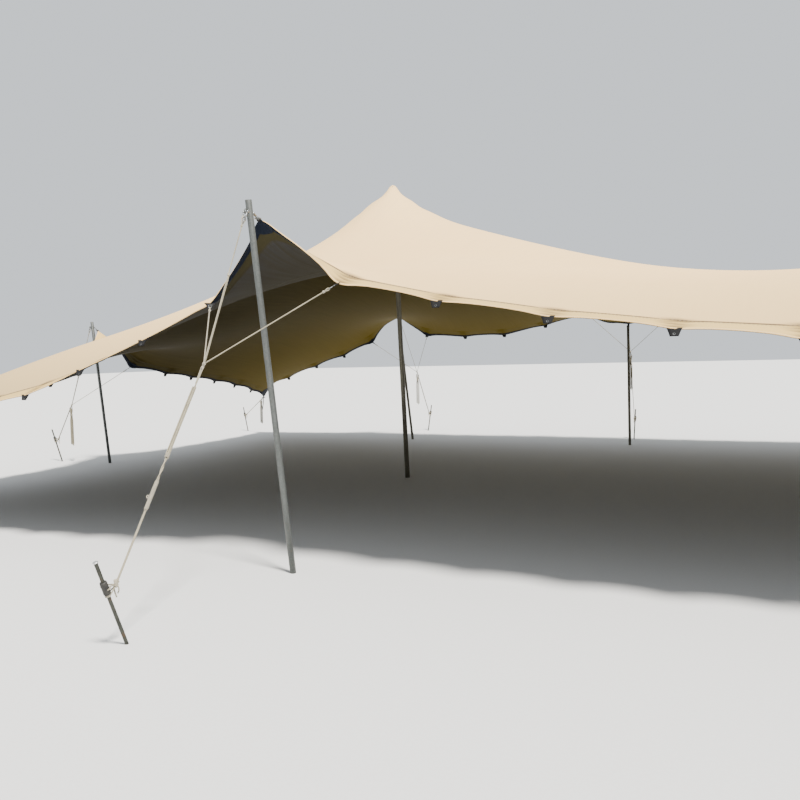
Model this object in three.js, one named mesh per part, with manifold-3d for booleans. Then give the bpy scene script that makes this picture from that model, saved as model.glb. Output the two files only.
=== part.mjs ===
// Stretch tent, 20 m x 9.2 m: one elastic sheet held up by two centre poles and
// eight edge poles, and pulled down by guy ropes that run to steel stakes.
// Millimetres, +Z up, ground at z = 0, X along the length, origin at the middle
// of the tent. The front edge is at -Y. The right half mirrors the left one.

import * as THREE from 'three';
import { mergeVertices } from 'three/addons/utils/BufferGeometryUtils.js';
import Module from 'manifold-3d';

const wasm = await Module();
wasm.setup();

// ---- driving dimensions ----

// The edge of the sheet has webbing tabs at an even pitch in the fabric. A station
// is [tab number, x, y, z], and the edge runs in a smooth line between two stops.
const TABS_LONG = 30;
const TABS_SHORT = 14;
const FRONT_SPANS = [
  [[0, -9900, -4620, 770], [3, -7860, -4500, 970], [5, -6560, -4540, 1215], [6, -5900, -4550, 1330],
    [7, -5230, -4570, 1533], [8, -4550, -4580, 1752], [9, -3870, -4600, 2000]],
  [[9, -3870, -4600, 2000], [10, -3410, -4600, 2550]],
  [[10, -3410, -4600, 2550], [11, -2800, -4600, 2080]],
  [[11, -2800, -4600, 2080], [12, -2090, -4600, 1925], [13, -1375, -4600, 1797],
    [14, -660, -4600, 1698], [15, 0, -4600, 1620]],
];
const BACK_SPANS = [
  [[0, -9900, 4620, 770], [0.5, -9560, 4600, 1060], [1, -9230, 4580, 1175], [2, -8540, 4560, 1405],
    [3, -7890, 4560, 1605], [4, -7250, 4580, 1850]],
  [[4, -7250, 4580, 1850], [4.5, -6960, 4600, 2150], [5, -6670, 4600, 2310]],
  [[5, -6670, 4600, 2310], [6, -6090, 4590, 1945]],
  [[6, -6090, 4590, 1945], [7, -5320, 4580, 1900], [8, -4560, 4570, 1910], [9, -3800, 4570, 2050],
    [10, -3040, 4580, 2200]],
  [[10, -3040, 4580, 2200], [10.5, -2700, 4590, 2035], [11, -2370, 4600, 2025]],
  [[11, -2370, 4600, 2025], [12, -1810, 4590, 2030], [13, -1220, 4570, 1980], [15, 0, 4560, 1900]],
];
const END_SPANS = [
  [[0, -9900, -4620, 770], [3, -9540, -2550, 1080], [5, -9500, -1160, 1300], [6, -9660, -500, 1420]],
  [[6, -9660, -500, 1420], [7, -9712, -30, 2082]],
  [[7, -9712, -30, 2082], [8, -9660, 560, 1500]],
  [[8, -9660, 560, 1500], [9, -9490, 1200, 1370], [10, -9505, 1870, 1280], [11, -9540, 2560, 1190],
    [12, -9600, 3240, 1080], [13, -9720, 3930, 950], [14, -9900, 4620, 770]],
];

// Centre pole: its top lifts a cone out of the sheet.
const CENTRE_TAB = 8;
const CENTRE_TOP = { x: -4560, y: 0, z: 3740 };
const CENTRE_FOOT = { x: -4450, y: 0 };
const CONE_RADIUS = 450;
const CONE_TIP_RADIUS = 60;
const CONE_SLOPE = 1.0;
const PITCH_X = 680;
const PITCH_Y = 655;
// The pull in the sheet is even, and rises towards a centre pole as 1 + this / distance.
const PULL_RISE = 1000;
const PULL_CORE = 300;
// Towards a pole under the edge it rises in the same way, and the sheet stands up in a
// low cone: [tab along, tab across, millimetres a node stands above its neighbours].
const TIP_PULL = 300;
const TIP_CORE = 120;
const TIPS = [
  [10, 0, 0], [20, 0, 0], [5, 14, 11], [25, 14, 11], [11, 14, 2], [19, 14, 2], [0, 7, 10], [30, 7, 10],
];
// Where the real sheet stands fuller or sags: [tab along, tab across, millimetres that
// a node stands above the mean of its neighbours]. Each is mirrored in both directions
// and spreads over two tabs.
const FULLNESS = [
  [2, 7, -2.89], [4.5, 7, -0.83], [6.5, 7, 3.03], [10, 7, 1.66], [15, 7, -0.86],
  [2.5, 3.5, 2.15], [5, 3, -0.26], [15, 3.5, -0.9],
];
const FULLNESS_SPREAD = 2;

const SHEET_THICKNESS = 6;
const SEAM_GAP = 0.3;
const FIT_GAP = 0.3;
// The solved sheet is cut into flat facets on a grid of this many tabs, and on the
// extra lines, also in tabs, round the centre poles and along the edges.
const FACET = 0.5;
const EXTRA_COLUMNS = [
  0.25, 4.75, 5.25, 7.75, 8.25, 9.75, 10.25, 19.75, 20.25, 21.75, 22.25, 24.75, 25.25, 29.75,
];
const EXTRA_ROWS = [0.25, 6.75, 7.25, 13.75];
// Between two tabs the edge draws in along the sheet by this much, and lifts.
const SCALLOP_IN = 55;
const SCALLOP_UP = 18;
const PANEL_SEAMS = [0, 3, 7, 9.5, 13, 17, 20.5, 23, 27, 30];

const POLE_RADIUS = 25;
const CENTRE_POLE_RADIUS = 30;
const POLE_SIDES = 20;

// Front and end poles stand outside the sheet and pass its edge; the sheet's tip is
// linked to an eye near the top, and so is the guy. Without a name for the link, it is a
// short rod that belongs to the pole.
const OUTSIDE_POLES = [
  { name: 'front_pole', link: 'tip_link', edge: 'front', tab: 10,
    foot: [-3370, -4390], top: [-3360, -4800, 2660],
    guy: { reach: 1365, knotReach: 640, knotHeight: 1565, stakeShift: 50, knotShift: 20 } },
  { name: 'end_pole', link: '', edge: 'end', tab: 7,
    foot: [-9643, 21], top: [-9900, 30, 2235],
    guy: { reach: 918, knotReach: 648, knotHeight: 920, stakeShift: 0, knotShift: 0 } },
];
const EYE_BELOW_TOP = 75;
// Their tube is open at the top.
const TUBE_BORE_RADIUS = 22;
const TUBE_BORE_DEPTH = 60;
// The back poles stand under their tab.
const UNDER_POLES = [
  { name: 'back_pole_outer', edge: 'back', tab: 5, foot: [-6290, 4250], inset: [0, -42] },
  { name: 'back_pole_inner', edge: 'back', tab: 11, foot: [-2300, 4200], inset: [0, -42] },
];

const EYE_RADIUS = 14;
const EYE_WIRE = 4;
const RING_RADIUS = 24;
const TIP_RING_RADIUS = 15;
const TIP_LINK_RADIUS = 7;
const RING_WIRE = 5;

const TAB_WIDTH = 60;
const TAB_LENGTH = 45;
const TAB_THICKNESS = 9;

// Guys: a bridle of three ropes meets at a knot, and a tackle runs to the stake.
const BRIDLE_RADIUS = 5;
const TACKLE_RADIUS = 12;
const KNOT_RADIUS = 18;
const LOOP_WIRE = 6;
const NECK_LENGTH = 70;
const UNDER_GUYS = {
  back_pole_outer: { reach: 1290, knotReach: 780, knotHeight: 1240 },
  back_pole_inner: { reach: 500, knotReach: 170, knotHeight: 1550 },
};
const CORNER_GUY = { stake: [740, 420] };

const STAKE_RADIUS = 10;
const STAKE_HEIGHT = 520;
const STAKE_LEAN = 202;
const STAKE_HEAD_RADIUS = 16;
const STAKE_HEAD_LENGTH = 12;
const LOOP_HEIGHT = 360;

// ---- materials ----

const FABRIC = new THREE.MeshStandardMaterial({ color: 0xe2d3b4, roughness: 0.85, metalness: 0 });
const GALVANISED = new THREE.MeshStandardMaterial({ color: 0x8b9493, roughness: 0.45, metalness: 0.8 });
const ROPE = new THREE.MeshStandardMaterial({ color: 0xb9ae93, roughness: 0.95, metalness: 0 });
const STEEL = new THREE.MeshStandardMaterial({ color: 0x3b3a36, roughness: 0.7, metalness: 0.6 });

// ---- solids ----

function toSolid(geometry) {
  const bare = geometry.index ? geometry.toNonIndexed() : geometry.clone();
  bare.deleteAttribute('normal');
  bare.deleteAttribute('uv');
  const welded = mergeVertices(bare, 1e-4);
  return new wasm.Manifold(new wasm.Mesh({
    numProp: 3,
    vertProperties: new Float32Array(welded.attributes.position.array),
    triVerts: new Uint32Array(welded.index.array),
  }));
}

function toGeometry(solid) {
  const mesh = solid.getMesh();
  const geometry = new THREE.BufferGeometry();
  const points = new Float32Array(mesh.numVert * 3);
  for (let i = 0; i < mesh.numVert; i++) {
    for (let k = 0; k < 3; k++) {
      points[3 * i + k] = mesh.vertProperties[i * mesh.numProp + k];
    }
  }
  geometry.setAttribute('position', new THREE.BufferAttribute(points, 3));
  geometry.setIndex(new THREE.BufferAttribute(new Uint32Array(mesh.triVerts), 1));
  geometry.computeVertexNormals();
  return geometry;
}

function union(solids) {
  return solids.reduce((sum, solid) => sum.add(solid));
}

function vec(x, y, z) {
  return new THREE.Vector3(x, y, z);
}

// A round bar from a to b.
function bar(a, b, radius, sides = 6) {
  const length = a.distanceTo(b);
  const geometry = new THREE.CylinderGeometry(radius, radius, length, sides);
  const turn = new THREE.Quaternion().setFromUnitVectors(vec(0, 1, 0), b.clone().sub(a).normalize());
  geometry.applyQuaternion(turn);
  geometry.translate((a.x + b.x) / 2, (a.y + b.y) / 2, (a.z + b.z) / 2);
  return toSolid(geometry);
}

// A ring round centre whose plane is square to axis.
function ring(centre, axis, radius, wire, around = 14, section = 6) {
  const geometry = new THREE.TorusGeometry(radius, wire, section, around);
  geometry.applyQuaternion(new THREE.Quaternion().setFromUnitVectors(vec(0, 0, 1), axis));
  geometry.translate(centre.x, centre.y, centre.z);
  return toSolid(geometry);
}

function ball(centre, radius) {
  const geometry = new THREE.SphereGeometry(radius, 8, 6);
  geometry.translate(centre.x, centre.y, centre.z);
  return toSolid(geometry);
}

// Everything below the ground line is cut away, so that a leaning bar stands flat.
function cutAtGround(solid) {
  const depth = 1000;
  const block = new THREE.BoxGeometry(60000, 60000, depth);
  block.translate(0, 0, -depth / 2);
  return solid.subtract(toSolid(block));
}

// ---- edge of the sheet ----

// A curve through the stations that never overshoots them.
function smoothSpan(stations, axis) {
  const n = stations.length;
  const s = stations.map((p) => p[0]);
  const v = stations.map((p) => p[axis]);
  const step = s.slice(1).map((x, i) => x - s[i]);
  const rise = step.map((h, i) => (v[i + 1] - v[i]) / h);
  const slope = new Array(n).fill(0);
  slope[0] = rise[0];
  slope[n - 1] = rise[n - 2];
  for (let i = 1; i < n - 1; i++) {
    if (rise[i - 1] * rise[i] > 0) {
      const w1 = 2 * step[i] + step[i - 1];
      const w2 = step[i] + 2 * step[i - 1];
      slope[i] = (w1 + w2) / (w1 / rise[i - 1] + w2 / rise[i]);
    }
  }
  return (at) => {
    let k = 0;
    while (k < n - 2 && at > s[k + 1]) k++;
    const h = step[k];
    const t = (at - s[k]) / h;
    const near = (1 + 2 * t) * (1 - t) ** 2 * v[k] + t * (1 - t) ** 2 * h * slope[k];
    const far = t * t * (3 - 2 * t) * v[k + 1] + t * t * (t - 1) * h * slope[k + 1];
    return near + far;
  };
}

// The way into the sheet is along +X on the end edge, and towards y = 0 on the others.
function edgePoint(spans, at) {
  const span = spans.find((p) => at <= p[p.length - 1][0] + 1e-9);
  const point = vec(smoothSpan(span, 1)(at), smoothSpan(span, 2)(at), smoothSpan(span, 3)(at));
  const part = at - Math.floor(at + 1e-9);
  const bow = Math.max(0, 4 * part * (1 - part));
  if (spans === END_SPANS) point.x += SCALLOP_IN * bow;
  else point.y += (spans === FRONT_SPANS ? 1 : -1) * SCALLOP_IN * bow;
  point.z += SCALLOP_UP * bow;
  return point;
}

function mirrorX(p) {
  return vec(-p.x, p.y, p.z);
}

function longEdge(spans, at) {
  const half = TABS_LONG / 2;
  return at <= half ? edgePoint(spans, at) : mirrorX(edgePoint(spans, TABS_LONG - at));
}

// ---- form of the sheet ----

// Each free node rests at the mean of its neighbours, weighted by the pull towards
// each, as the nodes of a stretched net do.
const NODES_PER_TAB = 4;

// Pull in the sheet at a place given in tabs.
function pullAt(tabX, tabY) {
  let pull = 1;
  for (const pole of [CENTRE_TAB, TABS_LONG - CENTRE_TAB]) {
    const away = Math.hypot((tabX - pole) * PITCH_X, (tabY - TABS_SHORT / 2) * PITCH_Y);
    pull += PULL_RISE / Math.max(away, PULL_CORE);
  }
  for (const [x, y] of TIPS) {
    pull += TIP_PULL / Math.max(Math.hypot((tabX - x) * PITCH_X, (tabY - y) * PITCH_Y), TIP_CORE);
  }
  return pull;
}

function fullnessAt(tabX, tabY) {
  let lift = 0;
  for (const [x, y, height] of TIPS) lift += height * Math.exp(-((tabX - x) ** 2) - (tabY - y) ** 2);
  for (const [alongTab, acrossTab, height] of FULLNESS) {
    for (const x of new Set([alongTab, TABS_LONG - alongTab])) {
      for (const y of new Set([acrossTab, TABS_SHORT - acrossTab])) {
        lift += height * Math.exp(-((tabX - x) ** 2 + (tabY - y) ** 2) / FULLNESS_SPREAD ** 2);
      }
    }
  }
  return lift;
}

function solveSheet() {
  const nu = TABS_LONG * NODES_PER_TAB + 1;
  const nv = TABS_SHORT * NODES_PER_TAB + 1;
  const node = [];
  const fixed = [];
  for (let i = 0; i < nu; i++) {
    const u = i / (nu - 1);
    const front = longEdge(FRONT_SPANS, i / NODES_PER_TAB);
    const back = longEdge(BACK_SPANS, i / NODES_PER_TAB);
    for (let j = 0; j < nv; j++) {
      const v = j / (nv - 1);
      const left = edgePoint(END_SPANS, j / NODES_PER_TAB);
      const right = mirrorX(left);
      if (i === 0) node.push(left);
      else if (i === nu - 1) node.push(right);
      else if (j === 0) node.push(front);
      else if (j === nv - 1) node.push(back);
      else node.push(front.clone().lerp(back, v).lerp(left.clone().lerp(right, u), 0.5));
      fixed.push(i === 0 || j === 0 || i === nu - 1 || j === nv - 1);
    }
  }
  for (const side of [-1, 1]) {
    const tab = side < 0 ? CENTRE_TAB : TABS_LONG - CENTRE_TAB;
    for (let i = 0; i < nu; i++) {
      for (let j = 0; j < nv; j++) {
        const dx = (i / NODES_PER_TAB - tab) * PITCH_X;
        const dy = (j / NODES_PER_TAB - TABS_SHORT / 2) * PITCH_Y;
        const r = Math.hypot(dx, dy);
        if (r > CONE_RADIUS) continue;
        const drop = CONE_SLOPE * (Math.hypot(r, CONE_TIP_RADIUS) - CONE_TIP_RADIUS);
        const x = CENTRE_TOP.x * -side + dx;
        node[i * nv + j] = vec(x, CENTRE_TOP.y + dy, CENTRE_TOP.z - drop);
        fixed[i * nv + j] = true;
      }
    }
  }
  const free = [];
  for (let i = 1; i < nu - 1; i++) {
    for (let j = 1; j < nv - 1; j++) {
      const k = i * nv + j;
      if (fixed[k]) continue;
      const x = i / NODES_PER_TAB;
      const y = j / NODES_PER_TAB;
      const half = 0.5 / NODES_PER_TAB;
      const links = [[k - nv, pullAt(x - half, y)], [k + nv, pullAt(x + half, y)],
        [k - 1, pullAt(x, y - half)], [k + 1, pullAt(x, y + half)]];
      const total = links.reduce((sum, link) => sum + link[1], 0);
      free.push({ k, links, total, lift: fullnessAt(x, y) });
    }
  }
  const over = 2 / (1 + Math.sin(Math.PI / nv));
  const mean = new THREE.Vector3();
  for (let pass = 0; pass < 12 * nv; pass++) {
    for (const { k, links, total, lift } of free) {
      mean.set(0, 0, 0);
      for (const [other, pull] of links) mean.addScaledVector(node[other], pull / total);
      mean.z += lift;
      node[k].lerp(mean, over);
    }
  }
  const line = (tab) => Math.round(tab * NODES_PER_TAB);
  return (tabX, tabY) => node[line(tabX) * nv + line(tabY)];
}

const sheetAt = solveSheet();

function gridLines(count, extra) {
  const lines = Array.from({ length: count / FACET + 1 }, (_, i) => i * FACET).concat(extra);
  return lines.sort((a, b) => a - b);
}

const columns = gridLines(TABS_LONG, EXTRA_COLUMNS);
const rows = gridLines(TABS_SHORT, EXTRA_ROWS);
const facets = columns.map((c) => rows.map((r) => sheetAt(c, r).clone()));

function facetNormal(i, j) {
  const at = (a, b) => facets[Math.min(Math.max(a, 0), columns.length - 1)][
    Math.min(Math.max(b, 0), rows.length - 1)];
  const along = at(i + 1, j).clone().sub(at(i - 1, j));
  const across = at(i, j + 1).clone().sub(at(i, j - 1));
  return along.cross(across).normalize();
}

// A closed slab over the facets of columns i0 to i1 and rows j0 to j1. low and high
// place its two skins against the middle of the sheet.
function slab(i0, i1, j0, j1, low, high) {
  const points = [];
  const index = [];
  const across = j1 - j0 + 1;
  const count = (i1 - i0 + 1) * across;
  for (const skin of [low, high]) {
    for (let i = i0; i <= i1; i++) {
      for (let j = j0; j <= j1; j++) {
        const p = skin(i, j);
        points.push(p.x, p.y, p.z);
      }
    }
  }
  const id = (i, j, upper) => (upper ? count : 0) + (i - i0) * across + (j - j0);
  const quad = (a, b, c, d) => index.push(a, b, c, a, c, d);
  for (let i = i0; i < i1; i++) {
    for (let j = j0; j < j1; j++) {
      quad(id(i, j, true), id(i + 1, j, true), id(i + 1, j + 1, true), id(i, j + 1, true));
      quad(id(i, j, false), id(i, j + 1, false), id(i + 1, j + 1, false), id(i + 1, j, false));
    }
  }
  for (let i = i0; i < i1; i++) {
    quad(id(i, j0, false), id(i + 1, j0, false), id(i + 1, j0, true), id(i, j0, true));
    quad(id(i + 1, j1, false), id(i, j1, false), id(i, j1, true), id(i + 1, j1, true));
  }
  for (let j = j0; j < j1; j++) {
    quad(id(i0, j + 1, false), id(i0, j, false), id(i0, j, true), id(i0, j + 1, true));
    quad(id(i1, j + 1, false), id(i1, j + 1, true), id(i1, j, true), id(i1, j, false));
  }
  const geometry = new THREE.BufferGeometry();
  geometry.setAttribute('position', new THREE.BufferAttribute(new Float32Array(points), 3));
  geometry.setIndex(index);
  return toSolid(geometry);
}

// One welded strip of the sheet, drawn back from its seams by half the seam gap.
function sheetPanel(i0, i1) {
  const place = (i, j, offset) => {
    const p = facets[i][j].clone().addScaledVector(facetNormal(i, j), offset);
    const inwards = i === i0 && i0 > 0 ? 1 : i === i1 && i1 < columns.length - 1 ? -1 : 0;
    if (inwards === 0) return p;
    const along = facets[i + 1][j].clone().sub(facets[i - 1][j]).normalize();
    return p.addScaledVector(along, inwards * SEAM_GAP);
  };
  const low = (i, j) => place(i, j, -SHEET_THICKNESS / 2);
  const high = (i, j) => place(i, j, SHEET_THICKNESS / 2);
  return slab(i0, i1, 0, rows.length - 1, low, high);
}

// The space over the underside of the sheet round a grid node, for seating a pole.
function spaceAbove(tabX, tabY) {
  const ci = columns.indexOf(tabX);
  const ri = rows.indexOf(tabY);
  const low = (i, j) => {
    return facets[i][j].clone().addScaledVector(facetNormal(i, j), -SHEET_THICKNESS / 2 - FIT_GAP - 0.1);
  };
  const high = (i, j) => low(i, j).add(vec(0, 0, 1500));
  return slab(
    Math.max(ci - 1, 0), Math.min(ci + 1, columns.length - 1),
    Math.max(ri - 1, 0), Math.min(ri + 1, rows.length - 1), low, high);
}

// ---- webbing tabs, guys and stakes ----

const tabsOnPanels = [];

// A webbing tab at an edge node, pointing to where its rope goes. It becomes part of
// the panel that holds the node. Returns where the rope starts.
function addTab(tabX, node, target) {
  const pull = target.clone().sub(node).normalize();
  const side = vec(0, 0, 1).cross(pull).normalize();
  const flat = side.clone().cross(pull).normalize();
  const box = new THREE.BoxGeometry(TAB_WIDTH, TAB_LENGTH + 8, TAB_THICKNESS);
  box.applyMatrix4(new THREE.Matrix4().makeBasis(side, pull, flat));
  const centre = node.clone().addScaledVector(pull, (TAB_LENGTH - 8) / 2);
  box.translate(centre.x, centre.y, centre.z);
  tabsOnPanels.push({ tabX, solid: toSolid(box) });
  return node.clone().addScaledVector(pull, TAB_LENGTH + FIT_GAP);
}

function stake(foot, outward) {
  const lean = outward.clone().multiplyScalar(STAKE_LEAN).add(vec(0, 0, STAKE_HEIGHT));
  const along = lean.clone().normalize();
  const top = foot.clone().add(lean);
  const shoulder = top.clone().addScaledVector(along, -STAKE_HEAD_LENGTH);
  const shaft = bar(foot.clone().addScaledVector(along, -40), shoulder.clone().addScaledVector(along, 2),
    STAKE_RADIUS, 12);
  const head = bar(shoulder, top, STAKE_HEAD_RADIUS, 12);
  return { solid: cutAtGround(shaft.add(head)), along };
}

// The loop round a stake, the neck and knot, and the tackle up to the bridle knot.
function tackle(foot, along, knot, radius) {
  const centre = foot.clone().addScaledVector(along, LOOP_HEIGHT / along.z);
  const loopRadius = STAKE_RADIUS + LOOP_WIRE + 2 * FIT_GAP;
  const pull = knot.clone().sub(centre);
  const square = pull.clone().addScaledVector(along, -pull.dot(along)).normalize();
  const start = centre.clone().addScaledVector(square, loopRadius + 2);
  const toKnot = knot.clone().sub(start).normalize();
  const neck = start.clone().addScaledVector(toKnot, NECK_LENGTH);
  return union([
    ring(centre, along, loopRadius, LOOP_WIRE),
    bar(start, neck, LOOP_WIRE),
    ball(neck, KNOT_RADIUS),
    bar(neck, knot, radius, 8),
  ]);
}

// A whole guy: foot of the stake, bridle knot, and the points its ropes start from.
function guy(foot, outward, knot, starts, extra = []) {
  const post = stake(foot, outward);
  const ropes = starts.map((start) => bar(start, knot, BRIDLE_RADIUS));
  const hauled = tackle(foot, post.along, knot, TACKLE_RADIUS);
  const solid = union([hauled, ball(knot, KNOT_RADIUS), ...ropes, ...extra]);
  return { ropes: solid, stake: post.solid };
}

// An eye welded to a pole at waist, on the side that faces target.
function eyeTowards(waist, along, target) {
  const toTarget = target.clone().sub(waist);
  const square = toTarget.addScaledVector(along, -toTarget.dot(along)).normalize();
  const axis = along.clone().cross(square).normalize();
  const centre = waist.clone().addScaledVector(square, POLE_RADIUS + EYE_RADIUS - 1);
  return { centre, axis, solid: ring(centre, axis, EYE_RADIUS, EYE_WIRE, 12) };
}

// A ring that hangs in an eye and is pulled towards target. Its end is the far side.
function linkIn(eye, target, radius) {
  const pull = target.clone().sub(eye.centre).normalize();
  const inside = EYE_RADIUS - EYE_WIRE - RING_WIRE - 3 * FIT_GAP;
  const centre = eye.centre.clone().addScaledVector(pull, inside + radius);
  const axis = pull.clone().cross(eye.axis).normalize();
  const end = centre.clone().addScaledVector(pull, radius);
  return { solid: ring(centre, axis, radius, RING_WIRE, 14), end };
}

// ---- assembly ----

const tent = new THREE.Group();

function addNode(name, solid, material) {
  const mesh = new THREE.Mesh(toGeometry(solid), material);
  mesh.name = name;
  tent.add(mesh);
}

function onSide(side, x, y, z) {
  return vec(side < 0 ? x : -x, y, z);
}

function tabOnSide(side, tab) {
  return side < 0 ? tab : TABS_LONG - tab;
}

// Centre poles
for (const side of [-1, 1]) {
  const foot = onSide(side, CENTRE_FOOT.x, CENTRE_FOOT.y, 0);
  const top = onSide(side, CENTRE_TOP.x, CENTRE_TOP.y, CENTRE_TOP.z);
  const along = top.clone().sub(foot).normalize();
  const shaft = bar(foot.clone().addScaledVector(along, -40), top.clone().addScaledVector(along, 60),
    CENTRE_POLE_RADIUS, POLE_SIDES);
  const seated = shaft.subtract(spaceAbove(tabOnSide(side, CENTRE_TAB), TABS_SHORT / 2));
  addNode(`centre_pole_${side < 0 ? 'left' : 'right'}`, cutAtGround(seated), GALVANISED);
}

// Points and tab columns of one edge on one side
function edgePlaces(edge, side) {
  if (edge === 'end') {
    const left = (tab) => edgePoint(END_SPANS, tab);
    return {
      point: (tab) => (side < 0 ? left(tab) : mirrorX(left(tab))),
      column: () => tabOnSide(side, 0),
      outward: vec(side, 0, 0),
    };
  }
  const spans = edge === 'back' ? BACK_SPANS : FRONT_SPANS;
  return {
    point: (tab) => longEdge(spans, tabOnSide(side, tab)),
    column: (tab) => tabOnSide(side, tab),
    outward: vec(0, edge === 'back' ? 1 : -1, 0),
  };
}

// Poles outside the sheet, with an eye on each side near the top
for (const plan of OUTSIDE_POLES) {
  for (const side of [-1, 1]) {
    const word = side < 0 ? 'left' : 'right';
    const { point, column, outward } = edgePlaces(plan.edge, side);
    const foot = onSide(side, plan.foot[0], plan.foot[1], 0);
    const top = onSide(side, ...plan.top);
    const along = top.clone().sub(foot).normalize();
    const waist = top.clone().addScaledVector(along, -EYE_BELOW_TOP);
    const tip = point(plan.tab);
    const sizes = plan.guy;
    const stakeFoot = vec(tip.x + side * sizes.stakeShift, tip.y, 0);
    stakeFoot.addScaledVector(outward, sizes.reach);
    const knot = vec(tip.x + side * sizes.knotShift, tip.y, sizes.knotHeight);
    knot.addScaledVector(outward, sizes.knotReach);
    const guyEye = eyeTowards(waist, along, knot);
    const tipEye = eyeTowards(waist, along, tip);
    const shaft = bar(foot.clone().addScaledVector(along, -40), top, POLE_RADIUS, POLE_SIDES);
    const boreEnd = top.clone().addScaledVector(along, -TUBE_BORE_DEPTH);
    const bore = bar(boreEnd, top.clone().addScaledVector(along, 10), TUBE_BORE_RADIUS, POLE_SIDES);
    const parts = [shaft, guyEye.solid, tipEye.solid];

    // Short link from the inner eye down to the tip of the sheet
    const tipStart = addTab(column(plan.tab), tip, tipEye.centre);
    if (plan.link) {
      const hook = linkIn(tipEye, tipStart, TIP_RING_RADIUS);
      const link = union([hook.solid, bar(tipStart, hook.end, TIP_LINK_RADIUS)]);
      addNode(`${plan.link}_${word}`, link, STEEL);
    } else {
      const down = tipStart.clone().sub(tipEye.centre).normalize();
      const rodEnd = tipEye.centre.clone().addScaledVector(down, EYE_RADIUS);
      parts.push(bar(tipStart, rodEnd, TIP_LINK_RADIUS));
    }
    addNode(`${plan.name}_${word}`, cutAtGround(union(parts).subtract(bore)), GALVANISED);

    // Bridle, tackle and stake
    const starts = [plan.tab - 1, plan.tab + 1].map((tab) => addTab(column(tab), point(tab), knot));
    const shackle = linkIn(guyEye, knot, RING_RADIUS);
    const made = guy(stakeFoot, outward, knot, [...starts, shackle.end], [shackle.solid]);
    addNode(`${plan.name.replace('pole', 'guy')}_${word}`, made.ropes, ROPE);
    addNode(`${plan.name.replace('pole', 'stake')}_${word}`, made.stake, STEEL);
  }
}

// Back poles under the sheet, with their guys and stakes
for (const plan of UNDER_POLES) {
  for (const side of [-1, 1]) {
    const word = side < 0 ? 'left' : 'right';
    const { point, column, outward } = edgePlaces(plan.edge, side);
    const tip = point(plan.tab);
    const foot = onSide(side, plan.foot[0], plan.foot[1], 0);
    const seat = tip.clone().add(vec(side < 0 ? plan.inset[0] : -plan.inset[0], plan.inset[1], 0));
    const along = seat.clone().sub(foot).normalize();
    const shaft = bar(foot.clone().addScaledVector(along, -40), seat.clone().addScaledVector(along, 60),
      POLE_RADIUS, POLE_SIDES);
    const above = spaceAbove(column(plan.tab), TABS_SHORT);
    addNode(`${plan.name}_${word}`, cutAtGround(shaft.subtract(above)), GALVANISED);

    const sizes = UNDER_GUYS[plan.name];
    const stakeFoot = vec(tip.x, tip.y, 0).addScaledVector(outward, sizes.reach);
    const knot = vec(tip.x, tip.y, sizes.knotHeight).addScaledVector(outward, sizes.knotReach);
    const starts = [plan.tab - 1, plan.tab, plan.tab + 1].map((tab) => {
      return addTab(column(tab), point(tab), knot);
    });
    const made = guy(stakeFoot, outward, knot, starts);
    const stem = plan.name.replace('pole', 'guy');
    addNode(`${stem}_${word}`, made.ropes, ROPE);
    addNode(`${plan.name.replace('pole', 'stake')}_${word}`, made.stake, STEEL);
  }
}

// Corners: a strap tab and one tackle straight to its stake
for (const side of [-1, 1]) {
  for (const end of [-1, 1]) {
    const word = `${end < 0 ? 'front' : 'back'}_corner`;
    const left = edgePoint(END_SPANS, end < 0 ? 0 : TABS_SHORT);
    const corner = side < 0 ? left : mirrorX(left);
    const reach = vec(side * CORNER_GUY.stake[0], end * CORNER_GUY.stake[1], 0);
    const foot = vec(corner.x, corner.y, 0).add(reach);
    const outward = reach.clone().normalize();
    const post = stake(foot, outward);
    const loopCentre = foot.clone().addScaledVector(post.along, LOOP_HEIGHT / post.along.z);
    const start = addTab(tabOnSide(side, 0), corner, loopCentre);
    const name = `${word}_guy_${side < 0 ? 'left' : 'right'}`;
    addNode(name, tackle(foot, post.along, start, LOOP_WIRE), ROPE);
    addNode(name.replace('guy', 'stake'), post.solid, STEEL);
  }
}

// Sheet panels with the tabs that are sewn to them
for (let k = 0; k + 1 < PANEL_SEAMS.length; k++) {
  const from = PANEL_SEAMS[k];
  const to = PANEL_SEAMS[k + 1];
  const own = tabsOnPanels.filter((tab) => tab.tabX >= from && (tab.tabX < to || to === TABS_LONG));
  const panel = sheetPanel(columns.indexOf(from), columns.indexOf(to));
  addNode(`canopy_panel_${k + 1}`, union([panel, ...own.map((tab) => tab.solid)]), FABRIC);
}

export default tent;
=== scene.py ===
"""Stretch tent, 19.8 m x 9.2 m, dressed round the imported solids.

Metres, +Z up, X along the length, the front edge at -Y. The sheet is a stretched net
that is solved here from the same stations as the solids, then drawn as one cloth with
its hem, webbing tabs, poles, laid ropes and stakes.
"""

import math

import bpy
import numpy as np
from mathutils import Matrix, Vector


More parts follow.
